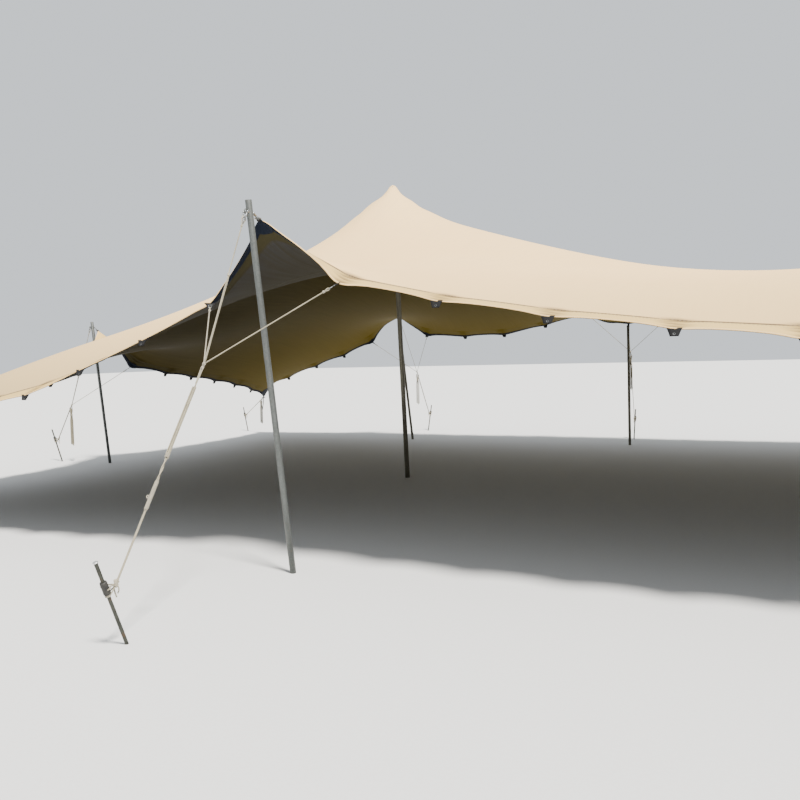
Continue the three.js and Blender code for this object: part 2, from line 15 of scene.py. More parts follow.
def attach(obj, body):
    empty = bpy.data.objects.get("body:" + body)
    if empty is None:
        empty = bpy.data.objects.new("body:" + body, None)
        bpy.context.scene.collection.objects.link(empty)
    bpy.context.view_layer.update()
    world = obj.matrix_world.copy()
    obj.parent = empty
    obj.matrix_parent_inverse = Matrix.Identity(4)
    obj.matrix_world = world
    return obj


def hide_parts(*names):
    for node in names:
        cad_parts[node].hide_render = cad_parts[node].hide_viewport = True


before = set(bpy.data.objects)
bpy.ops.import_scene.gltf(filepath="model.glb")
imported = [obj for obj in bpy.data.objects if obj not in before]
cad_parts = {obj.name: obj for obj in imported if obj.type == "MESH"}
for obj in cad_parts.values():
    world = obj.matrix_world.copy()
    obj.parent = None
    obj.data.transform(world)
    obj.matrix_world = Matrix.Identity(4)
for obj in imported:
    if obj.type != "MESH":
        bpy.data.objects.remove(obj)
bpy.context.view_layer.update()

bl_info = {
    "name": "Stretch tent",
    "version": (1, 0, 0),
    "blender": (4, 5, 0),
    "location": "3D View > Sidebar > Stretch tent",
    "description": "Dresses a rigged stretch tent round its packed solids",
    "category": "Add Mesh",
}

BODY = "root"
UP = (0, 0, 1.0)

# ---- stations of the sheet's edge: (tab number, x, y, z) ----

TABS_LONG = 30
TABS_SHORT = 14


def in_runs(stations, peaks):
    """Stations split into runs that share the peak tabs, where the edge has a corner."""
    ends = (stations[0][0], *peaks, stations[-1][0])
    return [[s for s in stations if low <= s[0] <= high] for low, high in zip(ends, ends[1:])]


FRONT_SPANS = in_runs((
    (0, -9.90, -4.62, 0.77), (3, -7.86, -4.50, 0.97), (5, -6.56, -4.54, 1.215),
    (6, -5.90, -4.55, 1.33), (7, -5.23, -4.57, 1.533), (8, -4.55, -4.58, 1.752),
    (9, -3.87, -4.60, 2.00), (10, -3.41, -4.60, 2.55), (11, -2.80, -4.60, 2.08),
    (12, -2.09, -4.60, 1.925), (13, -1.375, -4.60, 1.797), (14, -0.66, -4.60, 1.698),
    (15, 0, -4.60, 1.62)), (9, 10, 11))
BACK_SPANS = in_runs((
    (0, -9.90, 4.62, 0.77), (0.5, -9.56, 4.60, 1.06), (1, -9.23, 4.58, 1.175),
    (2, -8.54, 4.56, 1.405), (3, -7.89, 4.56, 1.605), (4, -7.25, 4.58, 1.85),
    (4.5, -6.96, 4.60, 2.15), (5, -6.67, 4.60, 2.31), (6, -6.09, 4.59, 1.945),
    (7, -5.32, 4.58, 1.90), (8, -4.56, 4.57, 1.91), (9, -3.80, 4.57, 2.05),
    (10, -3.04, 4.58, 2.20), (10.5, -2.70, 4.59, 2.035), (11, -2.37, 4.60, 2.025),
    (12, -1.81, 4.59, 2.03), (13, -1.22, 4.57, 1.98), (15, 0, 4.56, 1.90)), (4, 5, 6, 10, 11))
END_SPANS = in_runs((
    (0, -9.90, -4.62, 0.77), (3, -9.54, -2.55, 1.08), (5, -9.50, -1.16, 1.30),
    (6, -9.66, -0.50, 1.42), (7, -9.712, -0.03, 2.082), (8, -9.66, 0.56, 1.50),
    (9, -9.49, 1.20, 1.37), (10, -9.505, 1.87, 1.28), (11, -9.54, 2.56, 1.19),
    (12, -9.60, 3.24, 1.08), (13, -9.72, 3.93, 0.95), (14, -9.90, 4.62, 0.77)), (6, 7, 8))
# between two tabs the edge draws in and lifts by this
SCALLOP_IN = 0.055
SCALLOP_UP = 0.018

# ---- the net ----

CENTRE_TAB = 8
CENTRE_TOP = (-4.56, 0.0, 3.74)
CENTRE_FOOT = (-4.45, 0.0, 0.0)
CONE_RADIUS = 0.45
CONE_TIP_RADIUS = 0.06
PITCH_X = 0.68
PITCH_Y = 0.655
PULL_RISE = 1.0
PULL_CORE = 0.3
# tips over the edge poles: (tab along, tab across, metres a node stands above the mean
# of its neighbours)
TIPS = (
    (10, 0, 0.0), (20, 0, 0.0), (5, 14, 0.011), (25, 14, 0.011), (11, 14, 0.002), (19, 14, 0.002),
    (0, 7, 0.010), (30, 7, 0.010),
)
TIP_PULL = 0.3
TIP_CORE = 0.12
# (tab along, tab across, metres a node stands above the mean of its neighbours in a
# net of four nodes to the tab), mirrored in both directions
FULLNESS = (
    (2, 7, -0.00289), (4.5, 7, -0.00083), (6.5, 7, 0.00303), (10, 7, 0.00166), (15, 7, -0.00086),
    (2.5, 3.5, 0.00215), (5, 3, -0.00026), (15, 3.5, -0.0009),
)
FULLNESS_SPREAD = 2
FULLNESS_NODES = 4
NODES_PER_TAB = 4

# ---- poles, guys and stakes ----

# outside the sheet: (name, link, edge, tab, foot, top, reach of the stake, reach of the
# knot and its height, how far stake and knot stand to the side)
OUTSIDE_POLES = (
    ("front_pole", "tip_link", "front", 10, (-3.37, -4.39, 0.0), (-3.36, -4.80, 2.66),
     (1.365, 0.640, 1.565), (0.050, 0.020)),
    ("end_pole", "end_link", "end", 7, (-9.643, 0.021, 0.0), (-9.90, 0.03, 2.235),
     (0.918, 0.648, 0.920), (0.0, 0.0)),
)
EYE_BELOW_TOP = 0.075
EYE_RADIUS = 0.014
EYE_WIRE = 0.004
# under the back edge: (name, tab, foot, way in from the tip to the pole's seat, reach of
# the stake, reach of the knot and its height)
UNDER_POLES = (
    ("back_pole_outer", 5, (-6.29, 4.25, 0.0), (0.0, -0.042), (1.290, 0.780, 1.240)),
    ("back_pole_inner", 11, (-2.30, 4.20, 0.0), (0.0, -0.042), (0.500, 0.170, 1.550)),
)
TAB_LENGTH = 0.045
CORNER_STAKE = (0.740, 0.420)
STAKE_HEIGHT = 0.520
STAKE_LEAN = 0.202
LOOP_HEIGHT = 0.360

# ---- camera ----

CAMERA_PLACE = (-0.171, -9.247, 1.589)
CAMERA_YAW = math.radians(115.2434)
CAMERA_DOWN = math.radians(3.2506)
CAMERA_ROLL = math.radians(1.4372)
CAMERA_LENS, CAMERA_SENSOR, CAMERA_REACH = 35.5, 36.0, 500

# ---- light and floor ----

SUN_AIM = (-0.40, 0.30, -0.866)
SUN_WIDTH = math.radians(9)
SUN_COLOUR = (1.0, 0.965, 0.91)
SKY_COLOUR = (0.90, 0.95, 1.0)
FLOOR_REACH = 90.0


# ---------------------------------------------------------------- settings


def size_property(name, description, default):
    """A size in metres that a user can change."""
    return bpy.props.FloatProperty(
        name=name, description=description, default=default, unit="LENGTH")


def colour_property(name, description, default):
    """A colour that a user can change."""
    return bpy.props.FloatVectorProperty(
        name=name, description=description, default=default, subtype="COLOR", size=3)


class TentSheetSettings(bpy.types.PropertyGroup):
    """Sizes and colours of the cloth."""

    thickness: size_property("Cloth thickness", "Thickness of the sheet", 0.004)
    hem_width: size_property("Hem width", "Width of the folded hem along the edge", 0.150)
    binding_width: size_property("Binding width", "Width of the dark band under the edge", 0.055)
    crease_depth: size_property("Crease depth", "Depth of the short creases above each tab", 0.0130)
    flat_width: size_property("Cut width", "Width of the sheet before it is stretched", 9.0)
    flat_length: size_property("Cut length", "Length of the sheet before it is stretched", 19.0)
    top_colour: colour_property("Top colour", "Colour of the upper face", (0.930, 0.620, 0.270))
    under_colour: colour_property(
        "Underside colour", "Colour of the lower face", (0.050, 0.038, 0.012))
    binding_colour: colour_property(
        "Binding colour", "Colour of the dark band and patches", (0.004, 0.007, 0.015))


class TentTabSettings(bpy.types.PropertyGroup):
    """Sizes of the webbing tabs sewn along the edge."""

    root_width: size_property("Root width", "Width of a tab where it leaves the hem", 0.086)
    end_width: size_property("End width", "Width of a tab at its ring", 0.048)
    thickness: size_property("Thickness", "Thickness of the doubled webbing", 0.006)
    ring_radius: size_property("Ring radius", "Radius of the ring in a tab", 0.0065)
    ring_wire: size_property("Ring wire", "Radius of the wire of the ring", 0.0028)


class TentPoleSettings(bpy.types.PropertyGroup):
    """Sizes of the galvanised tubes."""

    tube_radius: size_property("Edge pole radius", "Outer radius of an edge pole", 0.0225)
    centre_radius: size_property("Centre pole radius", "Outer radius of a centre pole", 0.030)
    wall: size_property("Wall", "Wall thickness of the tubes", 0.003)
    sides: bpy.props.IntProperty(
        name="Sides", description="Sides of a tube", default=40, min=12)


class TentRopeSettings(bpy.types.PropertyGroup):
    """Sizes and colours of the guy ropes."""

    bridle_radius: size_property("Bridle radius", "Radius of the rope from a pole's eye", 0.0050)
    strand_radius: size_property("Tackle rope radius", "Radius of one part of the tackle", 0.0046)
    wrap_radius: size_property("Wrap radius", "Radius of the cord of the wraps", 0.0034)
    lay_pitch: size_property("Lay", "Length in which the rope's strands turn once", 0.062)
    rope_colour: colour_property("Rope colour", "Colour of the ropes", (0.36, 0.32, 0.22))


class TentStakeSettings(bpy.types.PropertyGroup):
    """Sizes of the steel stakes."""

    radius: size_property("Stake radius", "Radius of the bar", 0.0105)
    head_radius: size_property("Head radius", "Radius of the hammered head", 0.0150)
    sleeve_radius: size_property("Sleeve radius", "Radius of the rubber sleeve", 0.0205)
    sleeve_length: size_property("Sleeve length", "Length of the rubber sleeve", 0.078)


class TentStageSettings(bpy.types.PropertyGroup):
    """Floor and light."""

    floor_colour: colour_property("Floor colour", "Colour of the floor", (0.66, 0.66, 0.65))
    sun_strength: bpy.props.FloatProperty(
        name="Main light", description="Strength of the main light", default=10.0)
    sky_strength: bpy.props.FloatProperty(
        name="Sky", description="Strength of the soft light all round", default=1.0)


# ---------------------------------------------------------------- edge and net


def smooth_line(stations, at):
    """The monotone curve through the stations, at the tab numbers in at."""
    s = np.array([p[0] for p in stations], float)
    v = np.array([p[1:] for p in stations], float)
    step = np.diff(s)
    rise = np.diff(v, axis=0) / step[:, None]
    slope = np.zeros_like(v)
    slope[0] = rise[0]
    slope[-1] = rise[-1]
    for i in range(1, len(s) - 1):
        w1 = 2 * step[i] + step[i - 1]
        w2 = step[i] + 2 * step[i - 1]
        for axis in range(3):
            a, b = rise[i - 1, axis], rise[i, axis]
            if a * b > 0:
                slope[i, axis] = (w1 + w2) / (w1 / a + w2 / b)
    k = np.clip(np.searchsorted(s, at, side="right") - 1, 0, len(step) - 1)
    h = step[k][:, None]
    t = (at - s[k])[:, None] / h
    near = (1 + 2 * t) * (1 - t) ** 2 * v[k] + t * (1 - t) ** 2 * h * slope[k]
    return near + t * t * (3 - 2 * t) * v[k + 1] + t * t * (t - 1) * h * slope[k + 1]


def edge_points(spans, at, inward):
    """Points of an edge at the tab numbers in at; between tabs it draws in and lifts."""
    at = np.asarray(at, float)
    out = np.zeros((len(at), 3))
    done = np.zeros(len(at), bool)
    for span in spans:
        here = ~done & (at <= span[-1][0] + 1e-9)
        if here.any():
            out[here] = smooth_line(span, at[here])
        done |= here
    part = at - np.floor(at + 1e-9)
    bow = np.clip(4 * part * (1 - part), 0, None)[:, None]
    return out + bow * (SCALLOP_IN * np.array(inward) + np.array((0, 0, SCALLOP_UP)))


MIRROR = np.array((-1.0, 1.0, 1.0))


def long_edge(spans, at, inward):
    """Points of a long edge: its left half, and the right half as its mirror."""
    at = np.asarray(at, float)
    half = TABS_LONG / 2
    left = edge_points(spans, np.minimum(at, TABS_LONG - at), inward)
    return np.where((at <= half)[:, None], left, left * MIRROR)


def pull_at(x, y):
    """Pull in the sheet at a place given in tabs; it rises towards a centre pole."""
    pull = np.ones(np.broadcast(x, y).shape)
    for pole in (CENTRE_TAB, TABS_LONG - CENTRE_TAB):
        away = np.hypot((x - pole) * PITCH_X, (y - TABS_SHORT / 2) * PITCH_Y)
        pull = pull + PULL_RISE / np.maximum(away, PULL_CORE)
    for a, b, _ in TIPS:
        away = np.hypot((x - a) * PITCH_X, (y - b) * PITCH_Y)
        pull = pull + TIP_PULL / np.maximum(away, TIP_CORE)
    return pull


def solve_net():
    """Nodes of the stretched net, each at the weighted mean of its neighbours."""
    n = NODES_PER_TAB
    nu, nv = TABS_LONG * n + 1, TABS_SHORT * n + 1
    tu, tv = np.arange(nu) / n, np.arange(nv) / n
    front = long_edge(FRONT_SPANS, tu, (0, 1, 0))
    back = long_edge(BACK_SPANS, tu, (0, -1, 0))
    left = edge_points(END_SPANS, tv, (1, 0, 0))
    right = left * MIRROR
    u = (tu / TABS_LONG)[:, None, None]
    v = (tv / TABS_SHORT)[None, :, None]
    node = (1 - v) * front[:, None] + v * back[:, None]
    node = node + (1 - u) * left[None] + u * right[None]
    node -= (1 - u) * (1 - v) * front[0] + u * (1 - v) * front[-1]
    node -= (1 - u) * v * back[0] + u * v * back[-1]
    fixed = np.zeros((nu, nv), bool)
    fixed[0] = fixed[-1] = True
    fixed[:, 0] = fixed[:, -1] = True
    x, y = np.meshgrid(tu, tv, indexing="ij")
    lift = np.zeros((nu, nv))
    for a, b, height in TIPS:
        lift += height * np.exp(-(x - a) ** 2 - (y - b) ** 2)
    for along, across, height in FULLNESS:
        for a in {along, TABS_LONG - along}:
            for b in {across, TABS_SHORT - across}:
                lift += height * np.exp(-((x - a) ** 2 + (y - b) ** 2) / FULLNESS_SPREAD ** 2)
    lift *= (FULLNESS_NODES / n) ** 2
    for side, tab in ((-1, CENTRE_TAB), (1, TABS_LONG - CENTRE_TAB)):
        dx, dy = (x - tab) * PITCH_X, (y - TABS_SHORT / 2) * PITCH_Y
        r = np.hypot(dx, dy)
        cap = r <= CONE_RADIUS
        drop = np.hypot(r, CONE_TIP_RADIUS) - CONE_TIP_RADIUS
        node[cap, 0] = (-side * CENTRE_TOP[0] + dx)[cap]
        node[cap, 1] = dy[cap]
        node[cap, 2] = (CENTRE_TOP[2] - drop)[cap]
        fixed |= cap
    half = 0.5 / n
    west = pull_at(x - half, y)[1:-1, 1:-1, None]
    east = pull_at(x + half, y)[1:-1, 1:-1, None]
    south = pull_at(x, y - half)[1:-1, 1:-1, None]
    north = pull_at(x, y + half)[1:-1, 1:-1, None]
    total = west + east + south + north
    west, east, south, north = (w / total for w in (west, east, south, north))
    add = np.zeros((nu - 2, nv - 2, 3))
    add[..., 2] = lift[1:-1, 1:-1]
    i, j = np.meshgrid(np.arange(1, nu - 1), np.arange(1, nv - 1), indexing="ij")
    free = ~fixed[1:-1, 1:-1]
    over = 2 / (1 + math.sin(math.pi / nv))
    inner = node[1:-1, 1:-1]
    step = [(over * (free & ((i + j) % 2 == part)))[..., None] for part in (0, 1)]
    for _ in range(9 * nv):
        for mask in step:
            mean = west * node[:-2, 1:-1] + east * node[2:, 1:-1]
            mean += south * node[1:-1, :-2] + north * node[1:-1, 2:] + add
            mean -= inner
            mean *= mask
            inner += mean
    return node


_kept = {}


def once(name, maker, *values):
    """What the maker makes, made at the first call and kept under a name."""
    if name not in _kept:
        _kept[name] = maker(*values)
    return _kept[name]


def net():
    return once("net", solve_net)


def spline_weights(at, count):
    """Catmull-Rom weights that read count evenly spaced nodes at the places in at."""
    at = np.clip(np.asarray(at, float), 0, count - 1)
    k = np.minimum(at.astype(int), count - 2)
    t = at - k
    parts = (
        (-1, -0.5 * t + t * t - 0.5 * t ** 3), (0, 1 - 2.5 * t * t + 1.5 * t ** 3),
        (1, 0.5 * t + 2 * t * t - 1.5 * t ** 3), (2, -0.5 * t * t + 0.5 * t ** 3))
    weights = np.zeros((len(at), count))
    rows = np.arange(len(at))
    for offset, w in parts:
        index = k + offset
        low, high = index < 0, index > count - 1
        inside = np.clip(index, 0, count - 1)
        np.add.at(weights, (rows, inside), np.where(low | high, 2 * w, w))
        np.add.at(weights, (rows[low], np.ones(low.sum(), int)), -w[low])
        np.add.at(weights, (rows[high], np.full(high.sum(), count - 2)), -w[high])
    return weights


def sheet_grid(us, vs):
    """Points of the sheet's middle on the grid of tab numbers us by vs."""
    node = net()
    wu = spline_weights(np.asarray(us) * NODES_PER_TAB, node.shape[0])
    wv = spline_weights(np.asarray(vs) * NODES_PER_TAB, node.shape[1])
    return np.einsum("ai,ijk,bj->abk", wu, node, wv, optimize=True)


def unit(v):
    return v / np.maximum(np.linalg.norm(v, axis=-1, keepdims=True), 1e-12)


def sheet_normals(us, vs, step=0.04):
    """The sheet's normals on a grid, from points a step of a tab away on both sides."""
    u, v = np.asarray(us), np.asarray(vs)
    east, west = np.minimum(u + step, TABS_LONG), np.maximum(u - step, 0)
    north, south = np.minimum(v + step, TABS_SHORT), np.maximum(v - step, 0)
    return unit(np.cross(sheet_grid(east, vs) - sheet_grid(west, vs),
                         sheet_grid(us, north) - sheet_grid(us, south)))


def edge_run(u, v):
    """Distance from the nearest edge, and distance along it from the nearest tab."""
    run = np.stack((v * PITCH_Y, (TABS_SHORT - v) * PITCH_Y,
                    u * PITCH_X, (TABS_LONG - u) * PITCH_X))
    along_x = (u - np.round(u)) * PITCH_X
    along_y = (v - np.round(v)) * PITCH_Y
    near = np.argmin(run, axis=0)
    return run.min(axis=0), np.where(near < 2, along_x, along_y)


# (distance from a centre pole, spread, height) of the cloth's rounding round the pole
CONE_RELIEF = ((0.0, 0.06, 0.022), (0.15, 0.08, -0.028), (0.60, 0.30, 0.030))
# (distance from the edge, half length, tilt) of the short creases above a tab
CREASES = ((0.034, 0.060, 0.10), (0.076, 0.075, -0.08), (0.118, 0.085, 0.06),
           (0.172, 0.090, -0.04))
CREASE_WIDTH = 0.014
# the swelling beside a crease, as a part of its depth, and how far beside it
CREASE_LIP, CREASE_LIP_AT = 0.55, 0.018
HEM_STEP, HEM_SLOPE = 0.0020, 0.004
# pull folds round a pole: (height, distance, spread, number round the pole)
TIP_FOLDS = (0.0032, 0.42, 0.26, 13)
CONE_FOLDS = (0.0030, 0.62, 0.42, 11)
WAVE_HEIGHT, WAVE_FROM_EDGE = 0.003, 0.8
TIP_SMOOTH = 0.30
POLE_TABS = (("front", 10), ("front", 20), ("back", 5), ("back", 25), ("back", 11),
             ("back", 19), ("end", 7), ("far_end", 7))


def tab_place(edge, tab):
    """A tab's place on the sheet, in tab numbers along and across."""
    return {"front": (tab, 0), "back": (tab, TABS_SHORT), "end": (0, tab),
            "far_end": (TABS_LONG, tab)}[edge]


def tip_mask(u, v):
    """One at the tips over the poles, where the cloth is drawn smooth, nought away from them."""
    out = np.zeros(np.shape(u))
    for edge, tab in POLE_TABS:
        a, b = tab_place(edge, tab)
        near = ((u - a) * PITCH_X) ** 2 + ((v - b) * PITCH_Y) ** 2
        out = np.maximum(out, np.exp(-near / TIP_SMOOTH ** 2))
    return out


def crease_mask(u, v, shift=0.0):
    """One in the floor of the short creases by each tab, nought away from them."""
    run, along = edge_run(u, v)
    out = np.zeros_like(run)
    for away, half, tilt in CREASES:
        fade = np.exp(-(along / half) ** 2)
        out += fade * np.exp(-((run - away - shift - tilt * along) / CREASE_WIDTH) ** 2)
    return out * (1 - tip_mask(u, v))


def sheet_relief(u, v, sizes):
    """How far the cloth stands off the net: hem step, creases and faint pull folds."""
    def polar(a, b):
        dx, dy = (u - a) * PITCH_X, (v - b) * PITCH_Y
        return np.hypot(dx, dy), np.arctan2(dy, dx)

    def folds(r, turn, plan, start):
        height, away, wide, count = plan
        return height * np.exp(-((r - away) / wide) ** 2) * np.cos(count * turn + start)

    run, _ = edge_run(u, v)
    out = sizes.crease_depth * (CREASE_LIP * crease_mask(u, v, CREASE_LIP_AT) - crease_mask(u, v))
    out += HEM_STEP / (1 + np.exp((run - sizes.hem_width) / HEM_SLOPE))
    for edge, tab in POLE_TABS:
        out += folds(*polar(*tab_place(edge, tab)), TIP_FOLDS, 0.7 * tab)
    for pole in (CENTRE_TAB, TABS_LONG - CENTRE_TAB):
        r, turn = polar(pole, TABS_SHORT / 2)
        out += folds(r, turn, CONE_FOLDS, pole)
        for away, wide, height in CONE_RELIEF:
            out += height * np.exp(-((r - away) / wide) ** 2)
    wave = np.sin(u * 1.9 + 0.6 * np.sin(v * 0.9)) * np.sin(v * 1.4 + 0.5 * np.sin(u * 0.7))
    return out + WAVE_HEIGHT * wave * np.clip(run / WAVE_FROM_EDGE, 0, 1)


# ---------------------------------------------------------------- mesh helpers


class Shape:
    """Collects closed parts of one mesh, each with its material number."""

    def __init__(self):
        self.points, self.faces, self.slots = [], [], []
        self.count = 0

    def add(self, points, faces, slot=0):
        points = np.asarray(points, float).reshape(-1, 3)
        self.points.append(points)
        self.faces.extend([tuple(int(i) + self.count for i in f) for f in faces])
        self.slots.extend(slot if isinstance(slot, list) else [slot] * len(faces))
        self.count += len(points)

    def mesh(self, name):
        mesh = bpy.data.meshes.new(name)
        mesh.from_pydata(np.concatenate(self.points).tolist(), [], self.faces)
        mesh.polygons.foreach_set("material_index", self.slots)
        mesh.polygons.foreach_set("use_smooth", [True] * len(self.faces))
        mesh.update()
        return mesh


def square_to(direction):
    """Two unit vectors square to a direction and to each other."""
    d = unit(np.asarray(direction, float))
    help_axis = np.array((0.0, 0.0, 1.0)) if abs(d[2]) < 0.9 else np.array((1.0, 0.0, 0.0))
    a = unit(np.cross(d, help_axis))
    return a, np.cross(d, a)


def sweep(path, radius, sides=8, closed=False):
    """A round rod along a path. radius is one number or one for each point."""
    path = np.asarray(path, float)
    n = len(path)
    radius = np.broadcast_to(np.asarray(radius, float), (n,))
    if closed:
        tangent = unit(np.roll(path, -1, 0) - np.roll(path, 1, 0))
    else:
        tangent = unit(np.gradient(path, axis=0))
    a, _ = square_to(tangent[0])
    rings = []
    for i in range(n):
        a = a - tangent[i] * (a @ tangent[i])
        a = a / np.linalg.norm(a)
        b = np.cross(tangent[i], a)
        turn = np.linspace(0, 2 * np.pi, sides, endpoint=False)
        ring = np.outer(np.cos(turn), a) + np.outer(np.sin(turn), b)
        rings.append(path[i] + radius[i] * ring)
    points = np.concatenate(rings)
    faces = []
    for i in range(n if closed else n - 1):
        p, q = i * sides, (i + 1) % n * sides
        offset = 0
        if closed and i == n - 1:
            gap = [np.linalg.norm(points[q + k] - points[p]) for k in range(sides)]
            offset = int(np.argmin(gap))
        for k in range(sides):
            k2 = (k + 1) % sides
            faces.append((p + k, p + k2, q + (k2 + offset) % sides, q + (k + offset) % sides))
    if not closed:
        last = (n - 1) * sides
        faces.append(tuple(range(sides - 1, -1, -1)))
        faces.append(tuple(range(last, last + sides)))
    return points, faces


def lathe(profile, foot, axis, sides):
    """A turned part: profile is (radius, distance along the axis), on the axis at both ends."""
    foot, d = np.asarray(foot, float), unit(np.asarray(axis, float))
    a, b = square_to(d)
    turn = np.linspace(0, 2 * np.pi, sides, endpoint=False)
    ring = np.outer(np.cos(turn), a) + np.outer(np.sin(turn), b)
    points, faces, starts = [], [], []
    count = 0
    for radius, s in profile:
        starts.append(count)
        if radius == 0:
            points.append((foot + d * s)[None])
            count += 1
        else:
            points.append(foot + d * s + radius * ring)
            count += sides
    for i in range(len(profile) - 1):
        p, q = starts[i], starts[i + 1]
        for k in range(sides):
            k2 = (k + 1) % sides
            if profile[i][0] == 0:
                faces.append((p, q + k2, q + k))
            elif profile[i + 1][0] == 0:
                faces.append((p + k, p + k2, q))
            else:
                faces.append((p + k, p + k2, q + k2, q + k))
    return np.concatenate(points), faces


def stand_flat(points, axis):
    """Slides what would be under the ground up the axis to z = 0."""
    axis = unit(np.asarray(axis, float))
    low = points[:, 2] < 0
    points[low] -= np.outer(points[low, 2] / axis[2], axis)
    return points


def circle(centre, axis, radius, count, start=0.0, end=2 * math.pi, first=None):
    """Points of an arc round an axis. first is the direction of angle 0."""
    d = unit(np.asarray(axis, float))
    if first is None:
        a, b = square_to(d)
    else:
        a = unit(first - d * (np.asarray(first) @ d))
        b = np.cross(d, a)
    whole = abs(end - start) > 2 * math.pi - 1e-6
    turn = np.linspace(start, end, count, endpoint=not whole)
    return np.asarray(centre) + radius * (np.outer(np.cos(turn), a) + np.outer(np.sin(turn), b))


def wire_ring(shape, centre, axis, radius, wire, count, sides):
    shape.add(*sweep(circle(centre, axis, radius, count), wire, sides, closed=True))


TURN_POINTS = 14


def winding(start, end, radius, pitch):
    """A helix round the line from start to end."""
    start, end = np.asarray(start, float), np.asarray(end, float)
    length = np.linalg.norm(end - start)
    a, b = square_to(end - start)
    turns = length / pitch
    t = np.linspace(0, 1, max(8, int(turns * TURN_POINTS)))
    angle = 2 * np.pi * turns * t
    return start + np.outer(t, end - start) \
        + radius * (np.outer(np.cos(angle), a) + np.outer(np.sin(angle), b))


def piece(name, made, looks=(), replaced=()):
    """Makes a shape or a mesh, in its finishes, a piece of the tent that rides on the body."""
    mesh = made.mesh(name) if isinstance(made, Shape) else made
    for look in looks:
        mesh.materials.append(finish(look))
    obj = bpy.data.objects.new(name, mesh)
    bpy.context.scene.collection.objects.link(obj)
    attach(obj, BODY)
    if replaced:
        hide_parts(*replaced)


# ---------------------------------------------------------------- node helpers


def put(tree, kind, values=None, **settings):
    """Adds a node. values gives an input, by name or number, a value or a socket."""
    node = tree.nodes.new(kind)
    for key, value in settings.items():
        setattr(node, key, value)
    for key, value in (values or {}).items():
        socket = node.inputs[key]
        if isinstance(value, bpy.types.NodeSocket):
            tree.links.new(value, socket)
        else:
            socket.default_value = value
    return node


def sums(tree, operation, a, b=0.0):
    return put(tree, "ShaderNodeMath", {0: a, 1: b}, operation=operation).outputs[0]


def times(tree, a, b):
    return sums(tree, "MULTIPLY", a, b)


def plus(tree, a, b):
    return sums(tree, "ADD", a, b)


def less(tree, a, b):
    return sums(tree, "SUBTRACT", a, b)


def divided(tree, a, b):
    return sums(tree, "DIVIDE", a, b)


def vector(tree, x, y, z):
    return put(tree, "ShaderNodeCombineXYZ", {0: x, 1: y, 2: z}).outputs[0]


def noise(tree, place, scale, detail, roughness):
    return put(tree, "ShaderNodeTexNoise", {
        "Vector": place, "Scale": scale, "Detail": detail, "Roughness": roughness}).outputs[0]


def spread(tree, value, low, high, to_low=0.0, to_high=1.0):
    """The value's way from low to high, as a way from to_low to to_high."""
    return put(tree, "ShaderNodeMapRange", {
        0: value, 1: low, 2: high, 3: to_low, 4: to_high}).outputs[0]


def shade(colour, factor=1.0):
    """A colour for a socket, made darker or lighter; a socket is passed on as it is."""
    if isinstance(colour, bpy.types.NodeSocket):
        return colour
    return tuple(min(1.0, c * factor) for c in colour[:3]) + (1.0,)


def blend_colours(tree, mask, first, second):
    values = {0: mask, 6: shade(first), 7: shade(second)}
    return put(tree, "ShaderNodeMix", values, data_type="RGBA").outputs[2]


def stretch(tree, place, scale):
    return put(tree, "ShaderNodeMapping", {"Vector": place, "Scale": scale}).outputs[0]


def new_tree(name, kind, inputs, outputs):
    """A node group, and its input and output nodes. A socket is given as a default or a kind."""
    tree = bpy.data.node_groups.new(name, kind)
    for in_out, sockets in (("INPUT", inputs), ("OUTPUT", outputs)):
        for label, value in sockets.items():
            given = value if isinstance(value, str) else type(value).__name__.title()
            item = tree.interface.new_socket(
                name=label, in_out=in_out, socket_type="NodeSocket" + given)
            if given != value:
                item.default_value = value
    return tree, tree.nodes.new("NodeGroupInput"), tree.nodes.new("NodeGroupOutput")


# ---------------------------------------------------------------- shared effects


def weathering_group():
    """Broad soft patches of dust and fading, and fine speckle."""
    tree, source, sink = new_tree(
        "Weathering", "ShaderNodeTree",
        {"Vector": "Vector", "Patch size": 0.8, "Speckle size": 0.01},
        {"Patches": "Float", "Speckle": "Float"})
    per_patch = divided(tree, 1.0, source.outputs["Patch size"])
    per_speckle = divided(tree, 1.0, source.outputs["Speckle size"])
    broad = noise(tree, source.outputs["Vector"], per_patch, 4.0, 0.55)
    fine = noise(tree, source.outputs["Vector"], per_speckle, 2.0, 0.6)
    tree.links.new(spread(tree, broad, 0.32, 0.70), sink.inputs["Patches"])
    tree.links.new(spread(tree, fine, 0.35, 0.68), sink.inputs["Speckle"])
    return tree


def knit_group():
    """Ribs and courses of a knitted cloth, from a map in metres."""
    tree, source, sink = new_tree(
        "Knitted cloth", "ShaderNodeTree",
        {"Vector": "Vector", "Rib": 0.004, "Streak length": 0.4},
        {"Height": "Float", "Streaks": "Float"})
    per_rib = divided(tree, 1.0, source.outputs["Rib"])
    per_streak = divided(tree, 1.0, source.outputs["Streak length"])

    def scaled(x, y):
        by = vector(tree, x, y, 1.0)
        return put(tree, "ShaderNodeVectorMath", {0: source.outputs["Vector"], 1: by},
                   operation="MULTIPLY").outputs[0]

    fine = noise(tree, scaled(per_rib, times(tree, per_rib, 0.45)), 1.0, 2.0, 0.7)
    streaks = noise(tree, scaled(times(tree, per_rib, 0.12), per_streak), 1.0, 3.0, 0.6)
    tree.links.new(fine, sink.inputs["Height"])
    tree.links.new(spread(tree, streaks, 0.3, 0.7), sink.inputs["Streaks"])
    return tree


